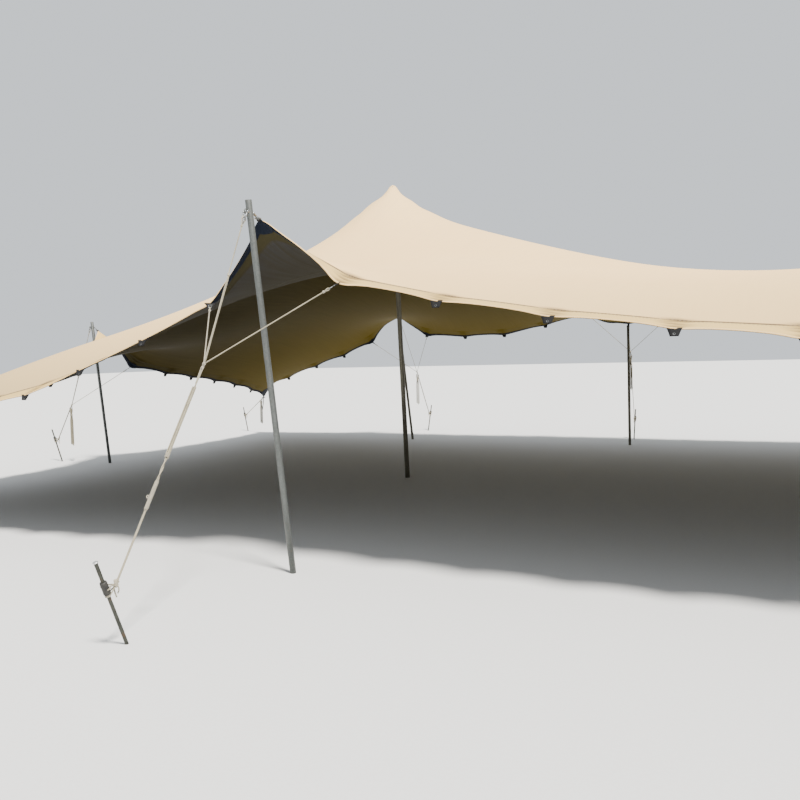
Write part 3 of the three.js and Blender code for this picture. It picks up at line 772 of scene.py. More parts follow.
def spangle_group():
    """Flaky grey facets of zinc with dull runs."""
    tree, source, sink = new_tree(
        "Zinc spangle", "ShaderNodeTree", {"Vector": "Vector", "Flake size": 0.012},
        {"Flakes": "Float", "Runs": "Float"})
    per_flake = divided(tree, 1.0, source.outputs["Flake size"])
    flake = put(tree, "ShaderNodeTexVoronoi", {
        "Vector": source.outputs["Vector"], "Scale": per_flake})
    tone = put(tree, "ShaderNodeSeparateColor", {0: flake.outputs["Color"]}).outputs[0]
    runs = noise(tree, stretch(tree, source.outputs["Vector"], (26.0, 26.0, 1.6)), 1.0, 4.0, 0.6)
    tree.links.new(tone, sink.inputs["Flakes"])
    tree.links.new(spread(tree, runs, 0.34, 0.68), sink.inputs["Runs"])
    return tree


def rust_group():
    """Brown bloom in broad patches on steel, and fine pits."""
    tree, source, sink = new_tree(
        "Rust bloom", "ShaderNodeTree", {"Vector": "Vector", "Amount": 0.5},
        {"Rust": "Float", "Pits": "Float"})
    broad = noise(tree, source.outputs["Vector"], 26.0, 5.0, 0.65)
    pits = noise(tree, source.outputs["Vector"], 240.0, 3.0, 0.6)
    edge = less(tree, 0.86, times(tree, source.outputs["Amount"], 0.6))
    high = plus(tree, edge, 0.16)
    tree.links.new(spread(tree, broad, edge, high), sink.inputs["Rust"])
    tree.links.new(pits, sink.inputs["Pits"])
    return tree


def hem_group():
    """The hem band, the painted shade line along its inner side and the rolled edge, from a map in
    metres.
    """
    tree, source, sink = new_tree(
        "Hem band", "ShaderNodeTree",
        {"Vector": "Vector", "Length": 20.0, "Width": 9.0, "Hem width": 0.15},
        {"Band": "Float", "Line": "Float", "Edge": "Float"})
    given = source.outputs
    axes = put(tree, "ShaderNodeSeparateXYZ", {0: given["Vector"]}).outputs
    near = [sums(tree, "MINIMUM", axes[k], less(tree, given[size], axes[k]))
            for k, size in ((0, "Length"), (1, "Width"))]
    run_in = sums(tree, "MINIMUM", *near)
    run = less(tree, run_in, given["Hem width"])
    away = sums(tree, "ABSOLUTE", run)
    tree.links.new(spread(tree, run, -0.004, 0.006, 1.0, 0.0), sink.inputs["Band"])
    tree.links.new(spread(tree, away, 0.010, 0.024, 1.0, 0.0), sink.inputs["Line"])
    tree.links.new(spread(tree, run_in, 0.004, 0.020, 1.0, 0.0), sink.inputs["Edge"])
    return tree


EFFECTS = {"weathering": weathering_group, "knit": knit_group, "spangle": spangle_group,
           "rust": rust_group, "hem": hem_group}


def use(tree, effect, values):
    """Places a shared effect with its own values, and returns its outputs."""
    made = once(effect, EFFECTS[effect])
    return put(tree, "ShaderNodeGroup", values, node_tree=made).outputs


def new_material(name, **fixed):
    """A material with a Principled shader, and its own plain values set."""
    material = bpy.data.materials.new(name)
    material.use_nodes = True
    tree = material.node_tree
    shader = tree.nodes["Principled BSDF"]
    for key, value in fixed.items():
        shader.inputs[key.replace("_", " ")].default_value = value
    return material, tree, shader


def coordinates(tree, kind="Object"):
    return tree.nodes.new("ShaderNodeTexCoord").outputs[kind]


def coat(tree, shader, colour, roughness, height=None, depth=0.0, strength=1.0):
    """Feeds a material's colour, its roughness and the relief of its surface."""
    tree.links.new(colour, shader.inputs["Base Color"])
    tree.links.new(roughness, shader.inputs["Roughness"])
    if height is not None:
        node = put(tree, "ShaderNodeBump", {
            "Height": height, "Distance": depth, "Strength": strength})
        tree.links.new(node.outputs[0], shader.inputs["Normal"])


# tones of the hem band, the painted shade along the hem's line and in the short creases, and the
# rolled edge, above and below
HEM_ABOVE = ((0.60, 0.41, 0.14), (0.085, 0.050, 0.018), (0.74, 0.50, 0.22))
HEM_BELOW = ((0.040, 0.034, 0.016), (0.034, 0.028, 0.014), (0.030, 0.026, 0.014))
# underside: painted shade, a greyer tone along the near edge, and a painted glow for the light that
# comes through it towards the far edge; each between two places across the tent
UNDER_NEAR_SHADE = (0.036, 0.036, 0.038)
NEAR_SHADE_FROM, NEAR_SHADE_TO = -4.6, -2.2
GLOW = (0.074, 0.050, 0.002)
GLOW_FROM, GLOW_TO = -3.5, 4.4
GLOW_POWER = 3.0
# upper face: painted shade, darker and browner on the low ends, between two heights
LOW_END_SHADE = (0.33, 0.245, 0.115)
SHADE_LOW, SHADE_HIGH = 0.95, 2.3
# darkening of streaks and speckle in the cloth, and how strong the painted shade of the hem's line
# and the creases is
STREAK_TONE, SPECKLE_TONE, SHADE_LINE_STRENGTH = 0.62, 0.75, 0.95
RUST_ON_ZINC = (0.17, 0.11, 0.06)
RUST_ON_STEEL = (0.115, 0.062, 0.030)


def cloth_tones(tree, shader, colour, faded, glow):
    """Plain and faded tone of the cloth. On the underside, painted shade makes it greyer near the
    front, and a painted glow stands for the light that comes through it towards the back; on the
    top, painted shade makes it darker and browner where it is low."""
    place = put(tree, "ShaderNodeSeparateXYZ", {0: coordinates(tree)}).outputs
    if glow:
        # painted glow: emission stands for the light that comes through the cloth towards the back
        far = sums(tree, "POWER", spread(tree, place[1], GLOW_FROM, GLOW_TO), GLOW_POWER)
        light = blend_colours(tree, far, (0, 0, 0), GLOW)
        tree.links.new(light, shader.inputs["Emission Color"])
        shader.inputs["Emission Strength"].default_value = 1.0
        # painted shade: the underside greyer near the front edge
        mask, other, lighter = spread(tree, place[1], NEAR_SHADE_FROM, NEAR_SHADE_TO), UNDER_NEAR_SHADE, 1.15
    else:
        # painted shade: the top darker and browner towards its low ends
        mask, other, lighter = spread(tree, place[2], SHADE_LOW, SHADE_HIGH), LOW_END_SHADE, 1.1
    return (blend_colours(tree, mask, other, colour),
            blend_colours(tree, mask, shade(other, lighter), faded))


def cloth_material(name, colour, warm, streak, patch, roughness, hem, specular=0.5, glow=False):
    """Knitted coated cloth: colour, its faded tone, how strongly the streaks show, hem tones."""
    material, tree, shader = new_material(name, Metallic=0.0, Specular_IOR_Level=specular)
    plain, faded = cloth_tones(tree, shader, colour, warm, glow)
    metres = coordinates(tree, "UV")
    knit = use(tree, "knit", {"Vector": metres, "Rib": 0.0045, "Streak length": 0.9})
    wear = use(tree, "weathering", {
        "Vector": coordinates(tree), "Patch size": 1.4, "Speckle size": 0.02})
    sewn = use(tree, "hem", {
        "Vector": metres, "Length": TABS_LONG * PITCH_X, "Width": TABS_SHORT * PITCH_Y,
        "Hem width": bpy.context.scene.tent_sheet.hem_width})
    # painted shade in the short creases, from the mask kept on the sheet
    crease_shade = put(tree, "ShaderNodeAttribute", attribute_name="crease").outputs["Fac"]
    base = blend_colours(tree, times(tree, wear["Patches"], patch), plain, faded)
    for mask, tone in (
            (times(tree, knit["Streaks"], streak), shade(colour, STREAK_TONE)),
            (times(tree, wear["Speckle"], 0.10), shade(colour, SPECKLE_TONE)),
            (sewn["Band"], hem[0]),
            # painted shade along the hem's line and in the short creases
            (times(tree, plus(tree, sewn["Line"], crease_shade), SHADE_LINE_STRENGTH), hem[1]),
            (sewn["Edge"], hem[2])):
        base = blend_colours(tree, mask, base, tone)
    rough = spread(tree, knit["Height"], 0.2, 0.8, roughness - 0.06, roughness + 0.06)
    height = plus(tree, knit["Height"], times(tree, knit["Streaks"], 0.35))
    coat(tree, shader, base, rough, height, 0.0012, 0.55)
    return material


def webbing_material(name, colour, worn, sheen=0.2, specular=0.5):
    """Woven strap: coarse ribs across a dark ground, greyed on its high threads."""
    material, tree, shader = new_material(
        name, Metallic=0.0, Sheen_Weight=sheen, Specular_IOR_Level=specular)
    place = coordinates(tree)
    threads = noise(tree, place, 620.0, 2.0, 0.6)
    wear = use(tree, "weathering", {"Vector": place, "Patch size": 0.07, "Speckle size": 0.004})
    base = blend_colours(tree, times(tree, wear["Patches"], threads), colour, worn)
    coat(tree, shader, base, spread(tree, threads, 0.2, 0.8, 0.72, 0.92), threads, 0.0012, 0.6)
    return material


def zinc_material(name, dull, pale):
    """Weathered galvanised tube: spangled, dull down its runs."""
    material, tree, shader = new_material(name, Metallic=0.45)
    place = coordinates(tree)
    zinc = use(tree, "spangle", {"Vector": place, "Flake size": 0.011})
    rust = use(tree, "rust", {"Vector": place, "Amount": 0.42})
    base = blend_colours(tree, zinc["Flakes"], dull, pale)
    base = blend_colours(tree, times(tree, zinc["Runs"], 0.55), base, shade(dull, 0.78))
    base = blend_colours(tree, times(tree, rust["Rust"], 0.6), base, RUST_ON_ZINC)
    rough = spread(tree, zinc["Runs"], 0.0, 1.0, 0.42, 0.62)
    coat(tree, shader, base, rough, plus(tree, zinc["Flakes"], rust["Pits"]), 0.0005, 0.35)
    return material


def steel_material(name, colour, bright, amount, metallic, roughness):
    """Bare or blackened steel with rust bloom and bright rubbed spots."""
    material, tree, shader = new_material(name, Metallic=metallic)
    place = coordinates(tree)
    rust = use(tree, "rust", {"Vector": place, "Amount": amount})
    wear = use(tree, "weathering", {"Vector": place, "Patch size": 0.05, "Speckle size": 0.003})
    base = blend_colours(tree, wear["Patches"], colour, bright)
    base = blend_colours(tree, rust["Rust"], base, RUST_ON_STEEL)
    rough = spread(tree, rust["Rust"], 0.0, 1.0, roughness, 0.88)
    coat(tree, shader, base, rough, rust["Pits"], 0.0006, 0.5)
    return material


def rope_material(name, colour, soiled):
    """Fibre rope, greyed and soiled along its length."""
    material, tree, shader = new_material(name, Metallic=0.0, Sheen_Weight=0.35)
    place = coordinates(tree)
    wear = use(tree, "weathering", {"Vector": place, "Patch size": 0.09, "Speckle size": 0.003})
    fibres = noise(tree, stretch(tree, place, (700.0, 700.0, 260.0)), 1.0, 2.0, 0.7)
    base = blend_colours(tree, wear["Patches"], colour, soiled)
    base = blend_colours(tree, times(tree, fibres, 0.35), base, shade(colour, 0.45))
    coat(tree, shader, base, spread(tree, fibres, 0.2, 0.8, 0.80, 0.97), fibres, 0.0010, 0.8)
    return material


def rubber_material():
    """Black rubber, dusty in patches."""
    material, tree, shader = new_material("Black rubber", Metallic=0.0)
    wear = use(tree, "weathering", {
        "Vector": coordinates(tree), "Patch size": 0.03, "Speckle size": 0.002})
    base = blend_colours(tree, times(tree, wear["Patches"], 0.7),
                         (0.010, 0.010, 0.010), (0.050, 0.046, 0.038))
    rough = spread(tree, wear["Speckle"], 0.0, 1.0, 0.55, 0.85)
    coat(tree, shader, base, rough, wear["Speckle"], 0.0004, 0.5)
    return material


def floor_material(colour):
    """Plain pale floor with a trace of grain."""
    material, tree, shader = new_material("Pale floor", Metallic=0.0)
    wear = use(tree, "weathering", {
        "Vector": coordinates(tree), "Patch size": 3.0, "Speckle size": 0.02})
    base = blend_colours(tree, wear["Speckle"], shade(colour, 0.985), shade(colour, 1.015))
    coat(tree, shader, base, spread(tree, wear["Speckle"], 0.0, 1.0, 0.90, 0.94))
    return material


def finish(name):
    """The named finish of the tent, made once."""
    cloth, rope = bpy.context.scene.tent_sheet, bpy.context.scene.tent_rope
    top, under, bound, fibre = (tuple(c) for c in (
        cloth.top_colour, cloth.under_colour, cloth.binding_colour, rope.rope_colour))
    looks = {
        "top": (cloth_material, "Canopy top", top, (0.96, 0.66, 0.31), 0.10, 0.5, 0.80, HEM_ABOVE),
        "under": (cloth_material, "Canopy underside", under, (0.064, 0.048, 0.012), 0.5, 0.7, 0.86,
                  HEM_BELOW, 0.12, True),
        "binding": (webbing_material, "Hem binding", bound, (0.009, 0.012, 0.022), 0.02, 0.15),
        "webbing": (webbing_material, "Black webbing", (0.008, 0.008, 0.009),
                    (0.020, 0.019, 0.018), 0.02, 0.2),
        "seam": (webbing_material, "Welded seam", (0.056, 0.050, 0.034), (0.074, 0.066, 0.044),
                 0.0, 0.12),
        "thread": (rope_material, "Hem thread", (0.52, 0.43, 0.28), (0.40, 0.33, 0.22)),
        "zinc": (zinc_material, "Galvanised tube", (0.088, 0.095, 0.091), (0.126, 0.135, 0.130)),
        # tubes under the cloth: a lighter, browner copy of the zinc, painted brown light of the
        # shade under the canopy
        "zinc in painted shade": (zinc_material, "Weathered tube", (0.150, 0.140, 0.105), (0.190, 0.178, 0.135)),
        "fitting": (steel_material, "Plated fitting", (0.20, 0.21, 0.21), (0.34, 0.35, 0.35),
                    0.35, 0.85, 0.40),
        "stake": (steel_material, "Blackened stake", (0.030, 0.032, 0.026), (0.060, 0.062, 0.050),
                  0.55, 0.5, 0.55),
        "hammered": (steel_material, "Hammered steel", (0.42, 0.42, 0.40), (0.66, 0.66, 0.64),
                     0.40, 0.85, 0.36),
        "rubber": (rubber_material,),
        "rope": (rope_material, "Guy rope", fibre, (0.26, 0.23, 0.16)),
        "wrap": (rope_material, "Pale lashing", (0.46, 0.42, 0.32), (0.34, 0.30, 0.22)),
    }
    return once(("finish", name), *looks[name])


# ---------------------------------------------------------------- geometry node trees


TAB_BEHIND = 0.004


def geometry(tree, kind, values, **settings):
    """Adds a geometry node and returns its first output."""
    return put(tree, "GeometryNode" + kind, values, **settings).outputs[0]


def named_attribute(tree, name, data_type):
    node = put(tree, "GeometryNodeInputNamedAttribute", {"Name": name}, data_type=data_type)
    return next(s for s in node.outputs if s.enabled and s.name == "Attribute")


def tab_tree():
    """Webbing tabs with their rings, one on each point of the input."""
    tree, source, sink = new_tree(
        "Webbing tabs", "GeometryNodeTree",
        {"Geometry": "Geometry", "Root width": 0.084, "End width": 0.034, "Length": 0.045,
         "Thickness": 0.006, "Ring radius": 0.012, "Ring wire": 0.0026, "Webbing": "Material",
         "Steel": "Material"}, {"Geometry": "Geometry"})
    given = source.outputs
    # strap: a slab from just behind the edge to its end, tapered and rounded
    length = plus(tree, given["Length"], TAB_BEHIND)
    slab = geometry(tree, "MeshCube", {
        "Size": vector(tree, given["Root width"], length, given["Thickness"]),
        "Vertices X": 5, "Vertices Y": 7, "Vertices Z": 2})
    place = tree.nodes.new("GeometryNodeInputPosition").outputs[0]
    axes = put(tree, "ShaderNodeSeparateXYZ", {0: place}).outputs
    part = plus(tree, divided(tree, axes[1], length), 0.5)
    narrow = divided(tree, given["End width"], given["Root width"])
    taper = less(tree, 1.0, times(tree, less(tree, 1.0, narrow), sums(tree, "POWER", part, 0.8)))
    x = times(tree, axes[0], taper)
    y = plus(tree, axes[1], less(tree, times(tree, length, 0.5), TAB_BEHIND))
    z = times(tree, axes[2], less(tree, 1.0, times(tree, part, 0.25)))
    strap = geometry(tree, "SetPosition", {"Geometry": slab, "Position": vector(tree, x, y, z)})
    strap = geometry(tree, "SetMaterial", {"Geometry": strap, "Material": given["Webbing"]})
    # eyelet in the strap, near its end
    loop, wire = (
        geometry(tree, "CurvePrimitiveCircle", {"Resolution": count, "Radius": given[size]})
        for count, size in ((18, "Ring radius"), (7, "Ring wire")))
    ring = geometry(tree, "CurveToMesh", {"Curve": loop, "Profile Curve": wire})
    at = vector(tree, 0.0, times(tree, given["Length"], 0.68), 0.0)
    ring = geometry(tree, "Transform", {"Geometry": ring, "Translation": at})
    ring = geometry(tree, "SetShadeSmooth", {"Geometry": ring})
    ring = geometry(tree, "SetMaterial", {"Geometry": ring, "Material": given["Steel"]})
    both = tree.nodes.new("GeometryNodeJoinGeometry")
    tree.links.new(strap, both.inputs[0])
    tree.links.new(ring, both.inputs[0])
    turn = put(tree, "FunctionNodeEulerToRotation",
               {0: named_attribute(tree, "turn", "FLOAT_VECTOR")}).outputs[0]
    laid = geometry(tree, "InstanceOnPoints", {
        "Points": given["Geometry"], "Instance": both.outputs[0], "Rotation": turn})
    tree.links.new(geometry(tree, "RealizeInstances", {0: laid}), sink.inputs[0])
    return tree


def finish_tree(tree, sink, made, material):
    """The end of a tree: instances made real, then the material."""
    real = geometry(tree, "RealizeInstances", {0: made})
    done = geometry(tree, "SetMaterial", {"Geometry": real, "Material": material})
    tree.links.new(done, sink.inputs[0])
    return tree


def even_line(tree, lines, step):
    """The lines of a mesh of edges, cut into even steps."""
    line = geometry(tree, "MeshToCurve", {0: lines})
    return geometry(tree, "ResampleCurve", {"Curve": line, "Length": step}, mode="LENGTH")


def rope_tree():
    """A laid rope along each line of the input: a lobed section that turns as it runs."""
    tree, source, sink = new_tree(
        "Laid rope", "GeometryNodeTree",
        {"Geometry": "Geometry", "Radius": 0.005, "Lobe depth": 0.16, "Lay": 0.062,
         "Step": 0.012, "Sides": 9, "Fibre": "Material"}, {"Geometry": "Geometry"})
    given = source.outputs
    even = even_line(tree, given["Geometry"], given["Step"])
    run = tree.nodes.new("GeometryNodeSplineParameter").outputs["Length"]
    tilt = divided(tree, times(tree, run, 2 * math.pi), given["Lay"])
    turned = geometry(tree, "SetCurveTilt", {"Curve": even, "Tilt": tilt})
    section = geometry(tree, "CurvePrimitiveCircle", {
        "Resolution": given["Sides"], "Radius": given["Radius"]})
    place = tree.nodes.new("GeometryNodeInputPosition").outputs[0]
    axes = put(tree, "ShaderNodeSeparateXYZ", {0: place}).outputs
    angle = sums(tree, "ARCTAN2", axes[1], axes[0])
    lobes = sums(tree, "COSINE", times(tree, angle, 3.0))
    swell = times(tree, less(tree, lobes, 1.0), times(tree, given["Lobe depth"], 0.5))
    scaled = put(tree, "ShaderNodeVectorMath", {0: place, 3: plus(tree, swell, 1.0)},
                 operation="SCALE").outputs[0]
    lobed = geometry(tree, "SetPosition", {"Geometry": section, "Position": scaled})
    rope = geometry(tree, "CurveToMesh", {
        "Curve": turned, "Profile Curve": lobed, "Fill Caps": True})
    smooth = geometry(tree, "SetShadeSmooth", {"Geometry": rope})
    return finish_tree(tree, sink, smooth, given["Fibre"])


def stitch_tree():
    """A row of stitches along each line of the input."""
    tree, source, sink = new_tree(
        "Stitch row", "GeometryNodeTree",
        {"Geometry": "Geometry", "Spacing": 0.016, "Stitch length": 0.010,
         "Thread radius": 0.0011, "Thread": "Material"}, {"Geometry": "Geometry"})
    given = source.outputs
    even = even_line(tree, given["Geometry"], given["Spacing"])
    way = tree.nodes.new("GeometryNodeInputTangent").outputs[0]
    turn = put(tree, "FunctionNodeAlignRotationToVector", {"Vector": way}, axis="Z").outputs[0]
    thread = geometry(tree, "MeshCylinder", {
        "Vertices": 4, "Radius": given["Thread radius"], "Depth": given["Stitch length"]},
        fill_type="NGON")
    laid = geometry(tree, "InstanceOnPoints", {
        "Points": even, "Instance": thread, "Rotation": turn})
    return finish_tree(tree, sink, laid, given["Thread"])


def grow(name, carrier_mesh, maker, values):
    """Runs a maker's node tree on a carrier mesh and returns the plain mesh it gives."""
    tree = once(maker.__name__, maker)
    carrier = bpy.data.objects.new(name + "_carrier", carrier_mesh)
    bpy.context.scene.collection.objects.link(carrier)
    modifier = carrier.modifiers.new("Grow", "NODES")
    modifier.node_group = tree
    for item in tree.interface.items_tree:
        if item.item_type == "SOCKET" and item.in_out == "INPUT" and item.name in values:
            modifier[item.identifier] = values[item.name]
    carrier.update_tag()
    bpy.context.view_layer.update()
    depsgraph = bpy.context.evaluated_depsgraph_get()
    mesh = bpy.data.meshes.new_from_object(carrier.evaluated_get(depsgraph), depsgraph=depsgraph)
    mesh.name = name
    carrier.modifiers.clear()
    bpy.data.objects.remove(carrier)
    bpy.data.meshes.remove(carrier_mesh)
    if not mesh.polygons:
        raise RuntimeError(f"{name}: the node tree made nothing")
    return mesh


def lines_mesh(name, paths):
    """A mesh of edges only, one run of them for each path."""
    points, edges = [], []
    for path in paths:
        first = len(points)
        points.extend([tuple(p) for p in np.asarray(path).tolist()])
        edges.extend((k, k + 1) for k in range(first, len(points) - 1))
    mesh = bpy.data.meshes.new(name)
    mesh.from_pydata(points, edges, [])
    return mesh


def join_meshes(name, meshes):
    """One mesh from several, with the materials of all."""
    shape, materials = Shape(), []
    for mesh in meshes:
        place = np.zeros(len(mesh.vertices) * 3)
        mesh.vertices.foreach_get("co", place)
        local = []
        for material in mesh.materials:
            if material not in materials:
                materials.append(material)
            local.append(materials.index(material))
        shape.add(place, [tuple(face.vertices) for face in mesh.polygons],
                  [local[face.material_index] for face in mesh.polygons])
    for mesh in meshes:
        bpy.data.meshes.remove(mesh)
    joined = shape.mesh(name)
    for material in materials:
        joined.materials.append(material)
    return joined


# ---------------------------------------------------------------- the cloth


# grid lines next to an edge: fine steps in metres, then places in tabs up to the first tab
FINE_STEP = 0.012
FINE_ROWS = 16
WIDE_ROWS = [0.34, 0.40, 0.48, 0.59, 0.72, 0.86]
# (tabs, distance between tabs, lines to a tab, how far they gather next to a tab)
LONG_LINES = (TABS_LONG, PITCH_X, 12, 0.45)
SHORT_LINES = (TABS_SHORT, PITCH_Y, 6, 0.0)


def cloth_lines(tabs, pitch, per_tab, gather):
    """Grid lines from one edge to the other, closer together next to the tabs."""
    start = [k * FINE_STEP / pitch for k in range(FINE_ROWS + 1)] + WIDE_ROWS
    middle = []
    for tab in range(1, tabs - 1):
        for k in range(per_tab):
            t = k / per_tab
            middle.append(tab + t - gather * math.sin(2 * math.pi * t) / (2 * math.pi))
    end = [tabs - 1.0] + [tabs - t for t in reversed(start)]
    return np.array(start + middle + end)


def cloth_surface(us, vs, sizes):
    """Middle points, normals and relief of the cloth on a grid."""
    u, v = np.meshgrid(us, vs, indexing="ij")
    return sheet_grid(us, vs), sheet_normals(us, vs), sheet_relief(u, v, sizes)


def grid_faces(nu, nv, start, flip=False):
    index = start + np.arange(nu * nv).reshape(nu, nv)
    a, b, c, d = index[:-1, :-1], index[1:, :-1], index[1:, 1:], index[:-1, 1:]
    order = (a, d, c, b) if flip else (a, b, c, d)
    return np.stack(order, -1).reshape(-1, 4)


class TENT_OT_sheet(bpy.types.Operator):
    """Draw the stretched cloth as one closed sheet, cream above and olive below"""

    bl_idname = "tent.sheet"
    bl_label = "Cloth"

    def execute(self, context):
        sizes = context.scene.tent_sheet
        us, vs = cloth_lines(*LONG_LINES), cloth_lines(*SHORT_LINES)
        points, normals, relief = cloth_surface(us, vs, sizes)
        u, v = np.meshgrid(us, vs, indexing="ij")
        nu, nv = len(us), len(vs)
        half = sizes.thickness / 2
        upper = points + normals * (relief + half)[..., None]
        lower = points + normals * (relief - half)[..., None]
        top = grid_faces(nu, nv, 0)
        under = grid_faces(nu, nv, nu * nv, flip=True)
        index = np.arange(nu * nv).reshape(nu, nv)
        border = np.concatenate((index[:-1, 0], index[-1, :-1], index[:0:-1, -1], index[0, :0:-1]))
        after = np.roll(border, -1)
        rim = np.stack((after, border, border + nu * nv, after + nu * nv), -1)
        shape = Shape()
        shape.add(np.concatenate((upper.reshape(-1, 3), lower.reshape(-1, 3))),
                  np.concatenate((top, under, rim)),
                  np.repeat((0, 1, 2), (len(top), len(under), len(rim))).tolist())
        mesh = shape.mesh("canopy_sheet")
        metres = np.stack((u * PITCH_X, v * PITCH_Y), -1).reshape(-1, 2)
        metres = np.concatenate((metres, metres))
        owners = np.zeros(len(mesh.loops), int)
        mesh.loops.foreach_get("vertex_index", owners)
        # mask of painted shade in the short creases, kept away from the tips
        crease_shade = np.tile((np.clip(crease_mask(u, v), 0, 1) - tip_mask(u, v)).ravel(), 2)
        mesh.attributes.new("crease", "FLOAT", "POINT").data.foreach_set("value", crease_shade)
        mesh.uv_layers.new(name="cloth").data.foreach_set("uv", metres[owners].ravel())
        mesh.update()
        panels = sorted(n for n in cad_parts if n.startswith("canopy_panel"))
        piece("canopy_sheet", mesh, ("top", "under", "top"), panels)
        return {"FINISHED"}


def edge_strip(edge, distances, sizes):
    """Points, normals and relief along an edge, a column for each distance in from it."""
    long, far = edge in ("front", "back"), edge in ("back", "far_end")
    tabs, pitch = (TABS_SHORT, PITCH_Y) if long else (TABS_LONG, PITCH_X)
    at = cloth_lines(*(LONG_LINES if long else SHORT_LINES))
    in_from = np.asarray(distances, float) / pitch
    if far:
        in_from = tabs - in_from[::-1]
    p, n, r = cloth_surface(*((at, in_from) if long else (in_from, at)), sizes)
    if not long:
        p, n, r = p.swapaxes(0, 1), n.swapaxes(0, 1), r.T
    return (p[:, ::-1], n[:, ::-1], r[:, ::-1]) if far else (p, n, r)


def closed_band(section_rows, flip):
    """A closed band from rows of points: section_rows[k] is the line of section point k."""
    rows = np.stack(section_rows, 1)
    n, m = rows.shape[:2]
    faces = []
    for i in range(n - 1):
        for k in range(m):
            k2 = (k + 1) % m
            quad = (i * m + k, i * m + k2, (i + 1) * m + k2, (i + 1) * m + k)
            faces.append(quad[::-1] if flip else quad)
    first, last = tuple(range(m)), tuple(range((n - 1) * m, n * m))
    faces += [first, last[::-1]] if flip else [first[::-1], last]
    return rows.reshape(-1, 3), faces


HEM_ROLL = 0.0046
BINDING_GAPS = (-0.0018, -0.0003)
STITCH_ROWS = (0.118, 0.134)
STITCH_GAP = 0.0004
STITCH = {"Spacing": 0.022, "Stitch length": 0.013, "Thread radius": 0.0009}


class TENT_OT_hem(bpy.types.Operator):
    """Bind the edge of the cloth and sew the hem"""

    bl_idname = "tent.hem"
    bl_label = "Hem binding and stitches"

    def execute(self, context):
        sizes = context.scene.tent_sheet
        half = sizes.thickness / 2
        band, stitch_lines = Shape(), []
        for edge in ("front", "back", "end", "far_end"):
            p, n, r = edge_strip(edge, [0.0, 0.010, 0.025, 0.040, sizes.binding_width], sizes)
            out = unit(p[:, 0] - p[:, 1])

            def off(k, above, beyond=0.0):
                stand = r[:, k] + above + math.copysign(half, above)
                return p[:, k] + n[:, k] * stand[:, None] + out * beyond

            turned = edge in ("back", "end")
            roll = [off(1, 0.0009), off(0, 0.0026, 0.0012), p[:, 0] + out * HEM_ROLL,
                    off(0, -0.0026, 0.0012), off(1, -0.0009), off(1, -0.0002),
                    off(0, -0.0002, 0.0002), off(0, 0.0002, 0.0002), off(1, 0.0002)]
            points, faces = closed_band(roll, turned)
            under = [1 if k in (2, 3) else 0 for k in range(len(roll))]
            band.add(points, faces, under * (len(roll[0]) - 1) + [0, 0])
            low, high = ([off(1, above) * 0.8 + off(2, above) * 0.2]
                         + [off(k, above) for k in (2, 3, 4)] for above in BINDING_GAPS)
            band.add(*closed_band(low + high[::-1], turned), slot=1)
            p, n, r = edge_strip(edge, STITCH_ROWS, sizes)
            for k in range(len(STITCH_ROWS)):
                above = (r[:, k] + half + STITCH_GAP)[:, None]
                stitch_lines.append((p[:, k] + n[:, k] * above)[1:-1])
        piece("hem_binding", band, ("top", "binding"))
        carrier = lines_mesh("hem_stitches", stitch_lines)
        mesh = grow("hem_stitches", carrier, stitch_tree, {**STITCH, "Thread": finish("thread")})
        mesh.materials.clear()
        piece("hem_stitches", mesh, ("thread",))
        return {"FINISHED"}


SEAM_ROWS = (1.3,)
SEAM_WIDTH = 0.022
SEAM_GAPS = (0.0002, 0.0014)


class TENT_OT_seams(bpy.types.Operator):
    """Lay the welded overlaps between the lengths of cloth on the underside"""

    bl_idname = "tent.seams"
    bl_label = "Welded seams"

    def execute(self, context):
        sizes = context.scene.tent_sheet
        shape = Shape()
        us = cloth_lines(*LONG_LINES)[3:-3]
        for row in SEAM_ROWS:
            across = row + np.array((-0.5, 0.5)) * SEAM_WIDTH / PITCH_Y
            p, n, r = cloth_surface(us, across, sizes)
            near, far = (p + n * (r - sizes.thickness / 2 - gap)[..., None] for gap in SEAM_GAPS)
            shape.add(*closed_band([near[:, 0], far[:, 0], far[:, 1], near[:, 1]], True))
        piece("welded_seams", shape, ("seam",))
        return {"FINISHED"}


# ---------------------------------------------------------------- where things stand

EDGES = {"front": (FRONT_SPANS, (0, 1, 0)), "back": (BACK_SPANS, (0, -1, 0)),
         "end": (END_SPANS, (1, 0, 0))}
SIDES = ((-1, "left"), (1, "right"))
PLAN = np.array((1.0, 1.0, 0.0))


def on_side(side, point):
    """A point given for the left half, on the left (-1) or the right (1)."""
    return np.array(point, float) * (MIRROR if side > 0 else 1.0)


def tab_at(edge, tab, side):
    spans, inward = EDGES[edge]
    return on_side(side, edge_points(spans, [tab], inward)[0])


def eye_at(waist, along, target):
    """Centre and axis of an eye welded on the side of a pole that faces target."""
    square = target - waist
    square = unit(square - along * (square @ along))
    return waist + square * (0.024 + EYE_RADIUS), unit(np.cross(along, square))


def outside_pole(plan, side):
    """Foot, top, direction, waist and tip of a pole outside the sheet."""
    foot, top = on_side(side, plan[4]), on_side(side, plan[5])
    along = unit(top - foot)
    return foot, top, along, top - along * EYE_BELOW_TOP, tab_at(plan[2], plan[3], side)


def way_out(edge, side):
    return on_side(side, -np.array(EDGES[edge][1], float))


